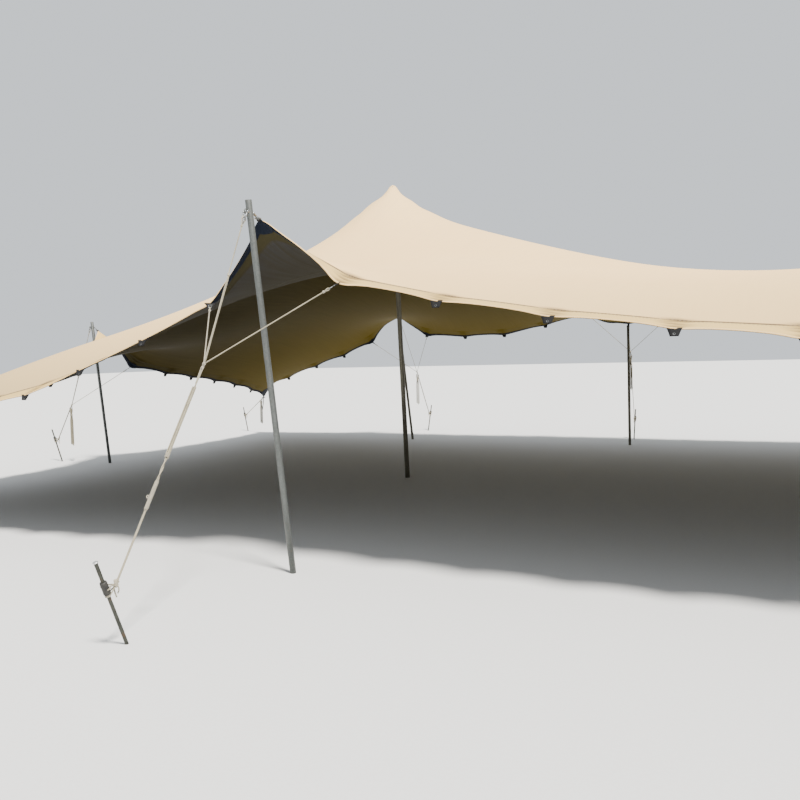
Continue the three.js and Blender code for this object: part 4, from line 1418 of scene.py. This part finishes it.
def guys():
    """Every guy: name, edge, tabs it is tied to, side, knot, stake's foot, way out."""
    plans = []
    for side, word in SIDES:
        for plan in OUTSIDE_POLES:
            name, _, edge, tab = plan[:4]
            (reach, knot_reach, height), (foot_shift, knot_shift) = plan[6:]
            tip, out = tab_at(edge, tab, side) * PLAN, way_out(edge, side)
            plans.append((f"{name.replace('pole', 'guy')}_{word}", edge, (tab - 1, tab + 1), side,
                          tip + out * knot_reach + (side * knot_shift, 0, height),
                          tip + out * reach + (side * foot_shift, 0, 0), out))
        for name, tab, _, _, (reach, knot_reach, height) in UNDER_POLES:
            tip, out = tab_at("back", tab, side) * PLAN, way_out("back", side)
            plans.append((f"{name.replace('pole', 'guy')}_{word}", "back",
                          (tab - 1, tab, tab + 1), side, tip + out * knot_reach + (0, 0, height),
                          tip + out * reach, out))
        for tab, end, which in ((0, -1, "front"), (TABS_SHORT, 1, "back")):
            reach = np.array((side * CORNER_STAKE[0], end * CORNER_STAKE[1], 0.0))
            foot = tab_at("end", tab, side) * PLAN + reach
            plans.append((f"{which}_corner_guy_{word}", "end", (tab,), side, None, foot,
                          unit(reach)))
    return plans


def stake_axis(foot, out):
    lean = out * STAKE_LEAN + (0, 0, STAKE_HEIGHT)
    along = unit(lean)
    return foot + lean, along, foot + along * (LOOP_HEIGHT / along[2])


def tab_target(plan):
    """Where the tabs of a guy point to."""
    _, _, _, _, knot, foot, out = plan
    return stake_axis(foot, out)[2] if knot is None else knot


# ---------------------------------------------------------------- tabs and patches

# a tab without a rope hangs down, and out by this part of its fall
LOOSE_OUT = 0.40
TIP_TAB = (0.038, 0.030)
# reach of the dark patches at the tips, the corners and the roped tabs
TIP_PATCH, CORNER_PATCH, TAB_PATCH = 0.095, 0.30, 0.085
PATCH_GAP, PATCH_THICKNESS = 0.0026, 0.0016
# tail of webbing that hangs from a corner: length, half width and half thickness
CORNER_TAIL = (0.25, 0.0125, 0.0011)


def tab_frames():
    """Place and direction of every webbing tab."""
    roped = {}
    for plan in guys():
        for tab in plan[2]:
            roped[plan[1], tab, plan[3]] = tab_target(plan)
    for side, _ in SIDES:
        for plan in OUTSIDE_POLES:
            _, _, along, waist, tip = outside_pole(plan, side)
            roped[plan[2], plan[3], side] = eye_at(waist, along, tip)[0]
    frames = []
    half = TABS_LONG // 2
    along = [(min(tab, TABS_LONG - tab), -1 if tab <= half else 1) for tab in range(1, TABS_LONG)]
    across = [(tab, side) for tab in range(TABS_SHORT + 1) for side in (-1, 1)]
    for edge, places in (("front", along), ("back", along), ("end", across)):
        for tab, side in places:
            place = tab_at(edge, tab, side)
            target = roped.get((edge, tab, side))
            if target is None:
                pull = unit(way_out(edge, side) * LOOSE_OUT + (0, 0, -1.0))
            else:
                pull = unit(target - place)
            frames.append((place, pull, (edge, tab) in POLE_TABS))
    return frames


class TENT_OT_tabs(bpy.types.Operator):
    """Sew the webbing tabs with their rings along the edge"""

    bl_idname = "tent.tabs"
    bl_label = "Webbing tabs"

    def execute(self, context):
        sizes = context.scene.tent_tabs
        parts = []
        for tip, root, end in ((False, sizes.root_width, sizes.end_width), (True, *TIP_TAB)):
            frames = [f for f in tab_frames() if f[2] == tip]
            carrier = bpy.data.meshes.new("tab_places")
            carrier.from_pydata([tuple(place) for place, _, _ in frames], [], [])
            turns = []
            for _, pull, _ in frames:
                side = unit(np.cross(UP, pull))
                basis = Matrix((side, pull, np.cross(side, pull))).transposed()
                turns.extend(basis.to_euler())
            turn = carrier.attributes.new("turn", "FLOAT_VECTOR", "POINT")
            turn.data.foreach_set("vector", turns)
            parts.append(grow("webbing_tabs", carrier, tab_tree, {
                "Root width": root, "End width": end, "Length": TAB_LENGTH,
                "Thickness": sizes.thickness, "Ring radius": sizes.ring_radius,
                "Ring wire": sizes.ring_wire, "Webbing": finish("webbing"),
                "Steel": finish("fitting")}))
        piece("webbing_tabs", join_meshes("webbing_tabs", parts))
        return {"FINISHED"}


def sheet_at(u, v):
    """Points of the sheet at pairs of tab numbers."""
    node = net()
    wu = spline_weights(np.asarray(u) * NODES_PER_TAB, node.shape[0])
    wv = spline_weights(np.asarray(v) * NODES_PER_TAB, node.shape[1])
    rows = (wu @ node.reshape(node.shape[0], -1)).reshape(len(wu), node.shape[1], 3)
    return np.einsum("nj,njk->nk", wv, rows)


def patch_turn(a, b):
    """Where a patch on the edge begins and ends, in half turns."""
    front, back = b < 0.5, b > TABS_SHORT - 0.5
    if a < 0.5:
        return (0.0, 0.5) if front else (1.5, 2.0) if back else (-0.5, 0.5)
    if a > TABS_LONG - 0.5:
        return (0.5, 1.0) if front else (1.0, 1.5) if back else (0.5, 1.5)
    return (0.0, 1.0) if front else (1.0, 2.0)


def under_patch(a, b, radius, sizes):
    """A closed patch on the underside round a place on the edge, in tab numbers."""
    turn = np.linspace(*patch_turn(a, b), 41) * np.pi
    reach = np.linspace(0.06, 1.0, 12) * radius
    t, r = np.meshgrid(turn, reach, indexing="ij")
    u = np.clip(a + r * np.cos(t) / PITCH_X, 0, TABS_LONG)
    v = np.clip(b + r * np.sin(t) / PITCH_Y, 0, TABS_SHORT)
    step = 0.03
    flat_u, flat_v = u.ravel(), v.ravel()
    along = sheet_at(flat_u + step, flat_v) - sheet_at(flat_u - step, flat_v)
    across = sheet_at(flat_u, flat_v + step) - sheet_at(flat_u, flat_v - step)
    n = unit(np.cross(along, across)).reshape(t.shape + (3,))
    p = sheet_at(flat_u, flat_v).reshape(t.shape + (3,))
    under = sheet_relief(u, v, sizes) - sizes.thickness / 2 - PATCH_GAP
    upper = p + n * under[..., None]
    lower = p + n * (under - PATCH_THICKNESS)[..., None]
    count = range(len(reach))
    section = [upper[:, k] for k in count] + [lower[:, k] for k in reversed(count)]
    return closed_band(section, True)


class TENT_OT_patches(bpy.types.Operator):
    """Lay the dark reinforcement under the long edges' tips, the corners and the roped tabs"""

    bl_idname = "tent.patches"
    bl_label = "Reinforcement patches"

    def execute(self, context):
        sizes = context.scene.tent_sheet
        shape = Shape()
        tips = {tab_place(edge, tab) for edge, tab in POLE_TABS if edge in ("front", "back")}
        corners = {(a, b) for a in (0, TABS_LONG) for b in (0, TABS_SHORT)}
        roped = set()
        for _, edge, tabs, side, _, _, _ in guys():
            for tab in tabs:
                a, b = tab_place(edge, tab)
                roped.add((a if side < 0 else TABS_LONG - a, b))
        for places, radius in ((tips, TIP_PATCH), (corners, CORNER_PATCH),
                               (roped - tips - corners, TAB_PATCH)):
            for a, b in sorted(places):
                shape.add(*under_patch(a, b, radius, sizes))
        fall, half_width, half_thick = CORNER_TAIL
        wide, thick = np.array((0.0, half_width, 0.0)), np.array((half_thick, 0.0, 0.0))
        for side, _ in SIDES:
            for tab in (0, TABS_SHORT):
                hang = np.linspace(0, 1, 10)[:, None]
                line = tab_at("end", tab, side) + (side * 0.012, 0, -0.008) \
                    + hang * (side * 0.03, 0.02, -fall) + np.sin(hang * 5) * (0.004, 0.006, 0)
                shape.add(*closed_band([line - wide - thick, line + wide - thick,
                                        line + wide + thick, line - wide + thick], True))
        piece("edge_patches", shape, ("binding",))
        return {"FINISHED"}


# ---------------------------------------------------------------- poles


# rubber cap of a tube: (part of the radius, metres added to it, height above the tube's end)
CAP = ((0, 0, -0.001), (1, 0.0025, -0.001), (1, 0.0035, 0.002), (1, 0.0025, 0.012),
       (1, -0.001, 0.022), (0.80, 0, 0.031), (0.50, 0, 0.0385), (0.2, 0, 0.041), (0, 0, 0.0415))
CAP_DEPTH = 0.045
# how deep an open tube is drawn hollow, how far the centre pole stands up into the rounded
# cone, and how far a back pole's seat is below the tip
OPEN_DEPTH, CENTRE_RISE, SEAT_BELOW = 0.5, 0.012, 0.014
BELOW_GROUND = -0.03


def tube(shape, foot, top, radius, wall, sides, open_depth=0.0):
    """A tube that stands on the ground, open at its top or closed by a rubber cap."""
    along = unit(top - foot)
    length = np.linalg.norm(top - foot)
    profile = [(0, BELOW_GROUND), (radius, BELOW_GROUND)]
    if open_depth:
        profile += [(radius, part * length) for part in (0.25, 0.5, 0.75)]
        profile += [(radius, length - 0.0015), (radius - 0.001, length),
                    (radius - wall + 0.001, length), (radius - wall, length - 0.002),
                    (radius - wall, length - open_depth), (0, length - open_depth)]
    else:
        end = length - CAP_DEPTH
        profile += [(radius, 0.33 * length), (radius, 0.66 * length), (radius, end), (0, end)]
        cap = [(part * radius + more, end + height) for part, more, height in CAP]
        shape.add(*lathe(cap, foot, along, sides), slot=1)
    points, faces = lathe(profile, foot, along, sides)
    shape.add(stand_flat(points, along), faces)


def weld(shape, place, axis, radius):
    """A small bead of weld."""
    outline = ((0, -1), (0.7, -0.7), (1, 0), (0.7, 0.7), (0, 1))
    shape.add(*lathe([(radius * a, radius * b) for a, b in outline], place, axis, 9))


class TENT_OT_poles(bpy.types.Operator):
    """Stand the ten galvanised tubes"""

    bl_idname = "tent.poles"
    bl_label = "Poles"

    def execute(self, context):
        sizes = context.scene.tent_poles
        knots = {plan[0]: plan[4] for plan in guys()}

        def stand(name, shape, metal):
            piece(name + "_tube", shape, (metal, "rubber"), [name])

        for side, word in SIDES:
            shape = Shape()
            tube(shape, on_side(side, CENTRE_FOOT), on_side(side, CENTRE_TOP) + (0, 0, CENTRE_RISE),
                 sizes.centre_radius, sizes.wall, sizes.sides)
            stand(f"centre_pole_{word}", shape, "zinc in painted shade")

            for plan in OUTSIDE_POLES:
                shape = Shape()
                foot, top, along, waist, tip = outside_pole(plan, side)
                tube(shape, foot, top, sizes.tube_radius, sizes.wall, sizes.sides, OPEN_DEPTH)
                name = f"{plan[0]}_{word}"
                for target in (knots[name.replace("pole", "guy")], tip):
                    centre, axis = eye_at(waist, along, target)
                    wire_ring(shape, centre, axis, EYE_RADIUS, EYE_WIRE, 22, 9)
                    inner = centre + unit(waist - centre) * (EYE_RADIUS - 0.001)
                    for way in (-1, 1):
                        weld(shape, inner + along * way * 0.006, axis, 0.0045)
                stand(name, shape, "zinc")

            for name, tab, foot, inset, _ in UNDER_POLES:
                shape = Shape()
                seat = tab_at("back", tab, side) + on_side(side, (*inset, -SEAT_BELOW))
                tube(shape, on_side(side, foot), seat, sizes.tube_radius, sizes.wall, sizes.sides)
                stand(f"{name}_{word}", shape, "zinc in painted shade")
        return {"FINISHED"}


# ---------------------------------------------------------------- fittings and ropes


def drop_shape(start, way, side, length, radius):
    """A teardrop line: it leaves start, widens to a round end and comes back."""
    turn = np.linspace(-0.72, 0.72, 18) * np.pi
    centre = start + way * (length - radius)
    loop = centre + radius * (np.outer(np.cos(turn), way) + np.outer(np.sin(turn), side))
    part = np.linspace(0, 1, 5)[:-1, None]
    there = start + part * (loop[0] - start)
    back = start + (1 - part[::-1]) * (loop[-1] - start)
    return np.concatenate((there, loop, back))


def shackle(shape, pin, way, side, width, length, wire):
    """A bow shackle: its pin with two eyes, and the bow beyond."""
    turn = np.linspace(-0.60, 0.60, 17) * np.pi
    radius = width * 0.62
    centre = pin + way * (length - radius)
    bow = centre + radius * (np.outer(np.cos(turn), way) + np.outer(np.sin(turn), side))
    line = np.concatenate(([pin - side * width / 2], bow, [pin + side * width / 2]))
    shape.add(*sweep(line, wire, 9))
    half = width / 2 + 1.9 * wire
    bolt = ((0, -1, 0), (1.5, -1, 0), (1.5, -1, 1), (0.9, -1, 1), (0.9, 1, -1), (1.7, 1, -1),
            (1.7, 1, 0.4), (0, 1, 0.4))
    shape.add(*lathe([(wire * r, half * a + wire * b) for r, a, b in bolt], pin, side, 12))


def trefoil(centre, axis, size):
    """The line of an overhand knot drawn tight."""
    a, b = square_to(axis)
    t = np.linspace(0, 2 * np.pi, 44, endpoint=False)
    x, y, z = np.sin(t) + 2 * np.sin(2 * t), np.cos(t) - 2 * np.cos(2 * t), -np.sin(3 * t)
    line = centre + size * (np.outer(x, a) + np.outer(y, b) + 1.1 * np.outer(z, unit(axis)))
    return np.concatenate((line, line[:2]))


class RopeLines:
    """Lines of one guy, sorted by the rope they are drawn with."""

    def __init__(self):
        self.bridle, self.strand, self.wrap, self.steel = [], [], [], Shape()

    def tie(self, centre, axis, size):
        self.wrap.append(trefoil(centre, axis, size))
        way = unit(axis) * size
        self.wrap.append(winding(centre - way * 3.2, centre + way * 3.2, 2.0 * size, 0.0066))


# size of the knots
KNOTS = {"tab": 0.0027, "bridle": 0.0036, "tackle": 0.0030, "hank": 0.0044, "hold": 0.0046,
         "hitch": 0.0040, "pole": 0.0024}
# bow shackles on the tabs and in the poles' eyes: (width, length, wire)
TAB_SHACKLE = (0.018, 0.040, 0.0026)
POLE_SHACKLE = (0.026, 0.044, 0.0050)
# how far the pin and the rope's eye stand from the edge, and the eye's length and radius
TAB_PIN, TAB_EYE, TAB_LOOP = 0.034, 0.112, (0.042, 0.0080)
# thimble in the rope from the pole: its end, its loop, its wire, and the rope's loop round it
THIMBLE_END, THIMBLE, THIMBLE_WIRE, THIMBLE_ROPE = 0.098, (0.060, 0.0120), 0.0042, (0.068, 0.0180)
# the part of the way down at which a second rope joins the one from the pole
DOUBLED_FROM = 0.37


def rope_start(lines, place, target):
    """Shackle on the ring of a tab, eye in the rope and its knot, then the rope."""
    way = unit(target - place)
    side = unit(np.cross(UP, way))
    shackle(lines.steel, place + way * TAB_PIN, way, side, *TAB_SHACKLE)
    eye = place + way * TAB_EYE
    lines.strand.append(drop_shape(eye, -way, np.cross(side, way), *TAB_LOOP))
    lines.tie(eye + way * 0.004, way, KNOTS["tab"])
    return eye


# the tackle: its head and foot and the start and end of its lashing, as parts of the way
# from knot to hold; then half its width and the number of ropes in it
TACKLE = (0.12, 0.447, 0.565, 0.690, 0.0066, 5)
# how far a rope's hold stands from its stake
HOLD_OUT = 0.075
# loose tails at the hold: (where it starts, how far it hangs, how far it sways)
TAILS = ((0.010, 0.070, 0.008), (-0.008, 0.045, -0.010))
# spare rope hung from a far knot: parts, length, half width and half depth, and how far it
# stays above the ground
HANK = (9, 0.60, 0.028, 0.010, 0.22)
# where the hank is bound, as parts of its length, and the radius and pitch of the binding
HANK_BOUND, HANK_WINDING = (0.17, 0.235), (0.0185, 0.0070)
# half the distance between two ropes that run side by side
HANK_ROPES, TACKLE_ROPES = 0.0048, 0.0052
# length and radius of the loop that sticks out of the lashing
TACKLE_LOOP = (0.030, 0.008)


def stake_tie(lines, hold, way):
    """The bulky knot next to the stake, with its two tails."""
    side, flat = square_to(way)
    lines.tie(hold, way, KNOTS["hold"])
    lines.tie(hold - way * 0.018 + side * 0.006, side, KNOTS["hitch"])
    for a, drop, sway in TAILS:
        part = np.linspace(0, 1, 12)[:, None]
        curl = np.sin(part * 3.6) * side * sway
        lines.strand.append(hold + side * a + part * (0, 0, -drop) + curl
                            + part * flat * 0.010)


def hank(lines, knot, hold):
    """A doubled line from the knot to the stake, and the spare rope hung up in a hank."""
    count, longest, half, deep, clear = HANK
    way = unit(hold - knot)
    side, _ = square_to(way)
    lines.tie(knot, way, KNOTS["hank"])
    for a in (-HANK_ROPES, HANK_ROPES):
        lines.strand.append(np.linspace(knot + side * a, hold + side * a, 60))
    stake_tie(lines, hold, way)
    head = knot + way * 0.035 - (0, 0, 0.012)
    drop = min(longest, head[2] - clear)
    across = unit(np.cross(UP, way))
    back = np.cross(across, UP)
    line = [knot]
    for k in range(count):
        a, b = half * (2 * k / (count - 1) - 1), deep * math.sin(2.1 * k)
        first, last = 0.05 + 0.03 * math.sin(1.7 * k), 1 - 0.07 * (1 + math.sin(2.3 * k)) / 2
        if k % 2:
            first, last = last, first
        for t in np.linspace(first, last, 16):
            pinch = 1 - 0.55 * math.exp(-((t - 0.20) / 0.08) ** 2)
            line.append(head + across * a * pinch + back * b * pinch + (0, 0, -drop * t))
        if k < count - 1:
            turn = math.copysign(0.022, last - first)
            line.append(head + across * (a + half / (count - 1)) + back * b
                        + (0, 0, -drop * last - turn))
    lines.strand.append(np.array(line))
    high, low = (head - (0, 0, drop * part) for part in HANK_BOUND)
    lines.wrap.append(winding(high, low, *HANK_WINDING))


def tackle(lines, knot, hold, sizes):
    """The tackle from the bridle knot to its hold on the stake."""
    top, low, lash, lash_end, half, count = TACKLE
    way = hold - knot
    length = np.linalg.norm(way)
    way = way / length
    side, flat = square_to(way)
    lines.tie(knot, way, KNOTS["bridle"])
    lines.tie(knot + way * 0.026, way, KNOTS["tackle"])
    head = length * top
    lines.bridle.append(drop_shape(knot + way * (head + 0.012), -way, side, head - 0.012, 0.009))

    def at(part, a=0.0, b=0.0):
        turn = 0.3 * part
        across = side * math.cos(turn) + flat * math.sin(turn)
        return knot + way * (length * part) + across * a + np.cross(way, across) * b

    def twist(start, points, away):
        return [at(part, away * math.cos(60 * part), away * math.sin(60 * part))
                for part in np.linspace(start, lash_end, points)]

    step = 2.1 * sizes.strand_radius * 0.40
    line = []
    for k in range(count):
        way_on = 1 if k % 2 == 0 else -1
        a, b = way_on * half, step * (k - (count - 1) / 2)
        first, last = (top, low) if k % 2 == 0 else (low, top)
        for part in np.linspace(first, last, 14):
            line.append(at(part, a * (1.15 - 0.3 * part), b))
        if k < count - 1:
            for turn in np.linspace(0, np.pi, 7)[1:-1]:
                line.append(at(last + way_on * half / length * math.sin(turn), a * math.cos(turn),
                               b + step * turn / np.pi))
    lines.strand.append(np.array(line + twist(low + 0.01, 40, 0.004)))
    lines.strand.append(np.array(twist(low - 0.03, 44, -0.004)))
    lines.wrap.append(winding(at(low - 0.010), at(low + 0.012), half + 0.0045, 0.0070))
    lines.wrap.append(winding(at(lash), at(lash_end), 0.0095, 0.0069))
    lines.wrap.append(drop_shape(at(lash_end - 0.05, 0.006), unit(side - way * 0.4), way,
                                 *TACKLE_LOOP))
    for a in (-TACKLE_ROPES, TACKLE_ROPES):
        led = np.linspace(lash_end - 0.01, 1.0, 12)
        lines.strand.append(np.array([at(part, a) for part in led]))
    stake_tie(lines, hold, way)


def stake_lashing(lines, hold, centre, along, sizes):
    """The loop round the stake: turns under the sleeve, and its two parts led to the hold."""
    radius, length = sizes.radius + 0.0050, sizes.sleeve_length / 2
    toward = hold - centre
    toward = unit(toward - along * (toward @ along))
    side = np.cross(along, toward)
    low = centre - along * (length + 0.016)
    lines.wrap.append(winding(low, low + along * 0.0150, radius, 0.0074))
    for way in (-1, 1):
        round_it = circle(centre + along * way * 0.006, along, sizes.sleeve_radius + 0.0045, 14,
                          0.0, way * 1.9, toward)
        lines.strand.append(np.concatenate((np.linspace(hold, round_it[2], 6), round_it[3:])))
        start = low + along * 0.008 + side * way * radius
        lines.strand.append(np.linspace(start, hold - along * 0.004, 6))
    end = centre + along * length * 0.8 + side * (sizes.sleeve_radius + 0.004)
    lines.wrap.append(np.linspace(low + side * radius, end, 6))


# (kind of line, its step, sides of its section, its finish)
ROPES = (("bridle", 0.011, 9, "rope"), ("strand", 0.010, 9, "rope"), ("wrap", 0.0052, 7, "wrap"))


class TENT_OT_guys(bpy.types.Operator):
    """Run the guy ropes with their shackles, tackles and knots"""

    bl_idname = "tent.guys"
    bl_label = "Guy ropes"

    def execute(self, context):
        sizes, post = context.scene.tent_rope, context.scene.tent_stakes
        for name, edge, tabs, side, knot, foot, out in guys():
            _, along, centre = stake_axis(foot, out)
            lines = RopeLines()
            first = knot if knot is not None else tab_at(edge, tabs[0], side)
            hold = centre + unit((first - centre) * PLAN) * HOLD_OUT
            if knot is None:
                knot = rope_start(lines, first, centre)
            else:
                for tab in tabs:
                    start = rope_start(lines, tab_at(edge, tab, side), knot)
                    lines.strand.append(np.linspace(start, knot, 16))
            for plan in OUTSIDE_POLES:
                if name.startswith(plan[0].replace("pole", "guy")):
                    self.pole_start(lines, plan, side, knot)
            if edge == "front":
                tackle(lines, knot, hold, sizes)
            else:
                hank(lines, knot, hold)
            stake_lashing(lines, hold, centre, along, post)
            parts = []
            for kind, step, sides, look in ROPES:
                if getattr(lines, kind):
                    carrier = lines_mesh(f"{name}_{kind}", getattr(lines, kind))
                    parts.append(grow(f"{name}_{kind}_rope", carrier, rope_tree, {
                        "Radius": getattr(sizes, kind + "_radius"), "Lay": sizes.lay_pitch,
                        "Step": step, "Sides": sides, "Fibre": finish(look)}))
            piece(name + "_ropes", join_meshes(name + "_ropes", parts), (), [name])
            piece(name + "_shackles", lines.steel, ("fitting",))
        return {"FINISHED"}

    @staticmethod
    def pole_start(lines, plan, side, knot):
        """Shackle in the pole's eye, thimble, and the rope down to the knot."""
        _, _, along, waist, _ = outside_pole(plan, side)
        eye, axis = eye_at(waist, along, knot)
        way = unit(knot - eye)
        across = unit(np.cross(axis, way))
        pin = eye + way * 0.004
        shackle(lines.steel, pin, way, axis, *POLE_SHACKLE)
        end = pin + way * THIMBLE_END
        lines.steel.add(*sweep(drop_shape(end, -way, across, *THIMBLE), THIMBLE_WIRE, 8))
        lines.wrap.append(drop_shape(end + way * 0.006, -way, across, *THIMBLE_ROPE))
        lines.tie(end + way * 0.010, way, KNOTS["pole"])
        lines.bridle.append(np.linspace(end, knot, 22))
        doubled = end + (knot - end) * DOUBLED_FROM
        lines.tie(doubled, way, KNOTS["pole"])
        lines.strand.append(np.linspace(doubled, knot - across * 0.002, 16) + across * 0.0075)


# ring of a tip link: half width, height and wire; then its barrel: (radius, part of the way)
LINK_RING = (0.024, 0.036, 0.0036)
BARREL = ((0, 0.18), (0.0062, 0.18), (0.0085, 0.26), (0.0088, 0.5), (0.0085, 0.74),
          (0.0062, 0.82), (0, 0.82))


class TENT_OT_tip_links(bpy.types.Operator):
    """Hang the screw links between the outside poles and the tips of the cloth"""

    bl_idname = "tent.tip_links"
    bl_label = "Tip links"

    def execute(self, context):
        for plan, (side, word) in ((plan, which) for plan in OUTSIDE_POLES for which in SIDES):
            _, _, along, waist, tip = outside_pole(plan, side)
            eye, _ = eye_at(waist, along, tip)
            way = unit(eye - tip)
            across = unit(np.cross(UP, way))
            shape = Shape()
            # three-cornered ring through the webbing
            half, high, wire = LINK_RING
            base = tip + way * (TAB_LENGTH - 0.004)
            corners = [base - across * half, base + across * half, base + way * high]
            line = []
            for k, corner in enumerate(corners):
                before, after = corners[k - 1] - corner, corners[(k + 1) % 3] - corner
                line += [corner + before * 0.22, corner + before * 0.12, corner + after * 0.05,
                         corner + after * 0.14]
            shape.add(*sweep(np.array(line), wire, 8, closed=True))
            # barrel with its rod and its two hooks
            start, end = base + way * 0.034, eye - way * 0.012
            span = np.linalg.norm(end - start)
            on = unit(end - start)
            shape.add(*lathe([(radius, part * span) for radius, part in BARREL], start, on, 14))
            shape.add(*sweep(np.linspace(start + on * 0.002, end - on * 0.002, 4), 0.0034, 8))
            wire_ring(shape, start - on * 0.003, across, 0.0085, 0.0028, 18, 7)
            wire_ring(shape, end + on * 0.006, across, 0.0110, 0.0030, 20, 7)
            name = f"{plan[1]}_{word}"
            piece(name + "_screw", shape, ("fitting",),
                  [name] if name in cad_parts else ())
        return {"FINISHED"}


# head of a stake: (part of its radius, height above the bar's end), and how it is beaten
STAKE_HEAD = ((0, -0.0085), (0.84, -0.0080), (1.02, -0.0055), (1, -0.0030), (0.86, -0.0008),
              (0.45, 0.0006), (0, 0.0004))
BEATEN = (0.0011, 0.0011, 0.0005)
# sleeve: (part of its radius, part of its half length, metres added)
SLEEVE = ((0, -1, 0), (0.93, -1, 0), (1, -1, 0.004), (0.97, -0.3, 0), (1.01, 0.4, 0),
          (0.98, 1, -0.004), (0.90, 1, 0), (0, 1, 0))


class TENT_OT_stakes(bpy.types.Operator):
    """Drive the leaning steel stakes with their hammered heads and rubber sleeves"""

    bl_idname = "tent.stakes"
    bl_label = "Stakes"

    def execute(self, context):
        sizes = context.scene.tent_stakes
        rng = np.random.default_rng(7)
        for name, _, _, _, _, foot, out in guys():
            top, along, centre = stake_axis(foot, out)
            length = np.linalg.norm(top - foot)
            r, head, sleeve = sizes.radius, sizes.head_radius, sizes.sleeve_radius
            shape = Shape()
            bar = [(0, BELOW_GROUND), (r, BELOW_GROUND)]
            bar += [(r * (1 + 0.03 * rng.uniform(-1, 1)), run)
                    for run in np.linspace(0.05, length - 0.014, 9)]
            bar += [(r * 1.1, length - 0.009), (0, length - 0.009)]
            points, faces = lathe(bar, foot, along, 18)
            shape.add(stand_flat(points, along), faces)
            disc = [(head * part, length + above) for part, above in STAKE_HEAD]
            points, faces = lathe(disc, foot, along, 20)
            beaten = rng.uniform(-1, 1, (len(points), 3)) * BEATEN
            shape.add(points + beaten, faces, slot=1)
            half = sizes.sleeve_length / 2
            sock = [(sleeve * part, half * a + b) for part, a, b in SLEEVE]
            shape.add(*lathe(sock, centre, along, 20), slot=2)
            name = name.replace("guy", "stake")
            piece(name + "_steel", shape, ("stake", "hammered", "rubber"), [name])
        return {"FINISHED"}


class TENT_OT_declare(bpy.types.Operator):
    """A step that does nothing"""

    bl_idname = "tent.declare"
    bl_label = "Cloth facts"

    def execute(self, context):
        return {"FINISHED"}


# ---------------------------------------------------------------- stage


class TENT_OT_stage(bpy.types.Operator):
    """Set the floor, the lights and the camera"""

    bl_idname = "tent.stage"
    bl_label = "Stage"

    def execute(self, context):
        scene = context.scene
        sizes = scene.tent_stage
        mesh = bpy.data.meshes.new("floor")
        r = FLOOR_REACH
        mesh.from_pydata([(-r, -r, 0), (r, -r, 0), (r, r, 0), (-r, r, 0)], [], [(0, 1, 2, 3)])
        floor = bpy.data.objects.new("floor", mesh)
        scene.collection.objects.link(floor)
        mesh.materials.append(floor_material(tuple(sizes.floor_colour)))

        world = bpy.data.worlds.new("Soft sky")
        scene.world = world
        world.use_nodes = True
        back = world.node_tree.nodes["Background"]
        back.inputs["Color"].default_value = shade(SKY_COLOUR)
        back.inputs["Strength"].default_value = sizes.sky_strength

        sun = bpy.data.lights.new("High sun", "SUN")
        sun.energy = sizes.sun_strength
        sun.angle = SUN_WIDTH
        sun.color = SUN_COLOUR
        lamp = bpy.data.objects.new("High sun", sun)
        lamp.rotation_euler = Vector(SUN_AIM).to_track_quat("-Z", "Y").to_euler()
        scene.collection.objects.link(lamp)

        camera = bpy.data.cameras.new("Camera")
        camera.lens = CAMERA_LENS
        camera.sensor_width = CAMERA_SENSOR
        camera.dof.use_dof = False
        camera.clip_end = CAMERA_REACH
        view = bpy.data.objects.new("Camera", camera)
        scene.collection.objects.link(view)
        yaw, down, roll = CAMERA_YAW, CAMERA_DOWN, CAMERA_ROLL
        ahead = Vector((math.cos(yaw) * math.cos(down), math.sin(yaw) * math.cos(down),
                        -math.sin(down)))
        level = Vector((math.sin(yaw), -math.cos(yaw), 0.0))
        upward = level.cross(ahead)
        right = level * math.cos(roll) - upward * math.sin(roll)
        up = level * math.sin(roll) + upward * math.cos(roll)
        turn = Matrix((right, up, -ahead)).transposed().to_4x4()
        view.matrix_world = Matrix.Translation(CAMERA_PLACE) @ turn
        scene.camera = view
        return {"FINISHED"}


# ---------------------------------------------------------------- panel

STEPS = (TENT_OT_stage, TENT_OT_sheet, TENT_OT_hem, TENT_OT_seams, TENT_OT_patches, TENT_OT_tabs,
         TENT_OT_poles, TENT_OT_tip_links, TENT_OT_guys, TENT_OT_stakes, TENT_OT_declare)


class TENT_PT_panel(bpy.types.Panel):
    """The tent's steps and sizes in the sidebar"""

    bl_idname = "TENT_PT_panel"
    bl_label = "Stretch tent"
    bl_space_type = "VIEW_3D"
    bl_region_type = "UI"
    bl_category = "Stretch tent"

    def draw(self, context):
        for step in STEPS:
            self.layout.operator(step.bl_idname)
        for name in SETTINGS:
            box = self.layout.box()
            settings = getattr(context.scene, name)
            for key in settings.__annotations__:
                box.prop(settings, key)


SETTINGS = {
    "tent_sheet": TentSheetSettings, "tent_tabs": TentTabSettings,
    "tent_poles": TentPoleSettings, "tent_rope": TentRopeSettings,
    "tent_stakes": TentStakeSettings, "tent_stage": TentStageSettings,
}


def register():
    for cls in (*SETTINGS.values(), *STEPS, TENT_PT_panel):
        bpy.utils.register_class(cls)
    for name, cls in SETTINGS.items():
        setattr(bpy.types.Scene, name, bpy.props.PointerProperty(type=cls))


def unregister():
    for name in SETTINGS:
        delattr(bpy.types.Scene, name)
    for cls in reversed((*SETTINGS.values(), *STEPS, TENT_PT_panel)):
        bpy.utils.unregister_class(cls)


def main():
    register()
    for step in STEPS:
        family, name = step.bl_idname.split(".")
        getattr(getattr(bpy.ops, family), name)()


if __name__ == "__main__":
    main()
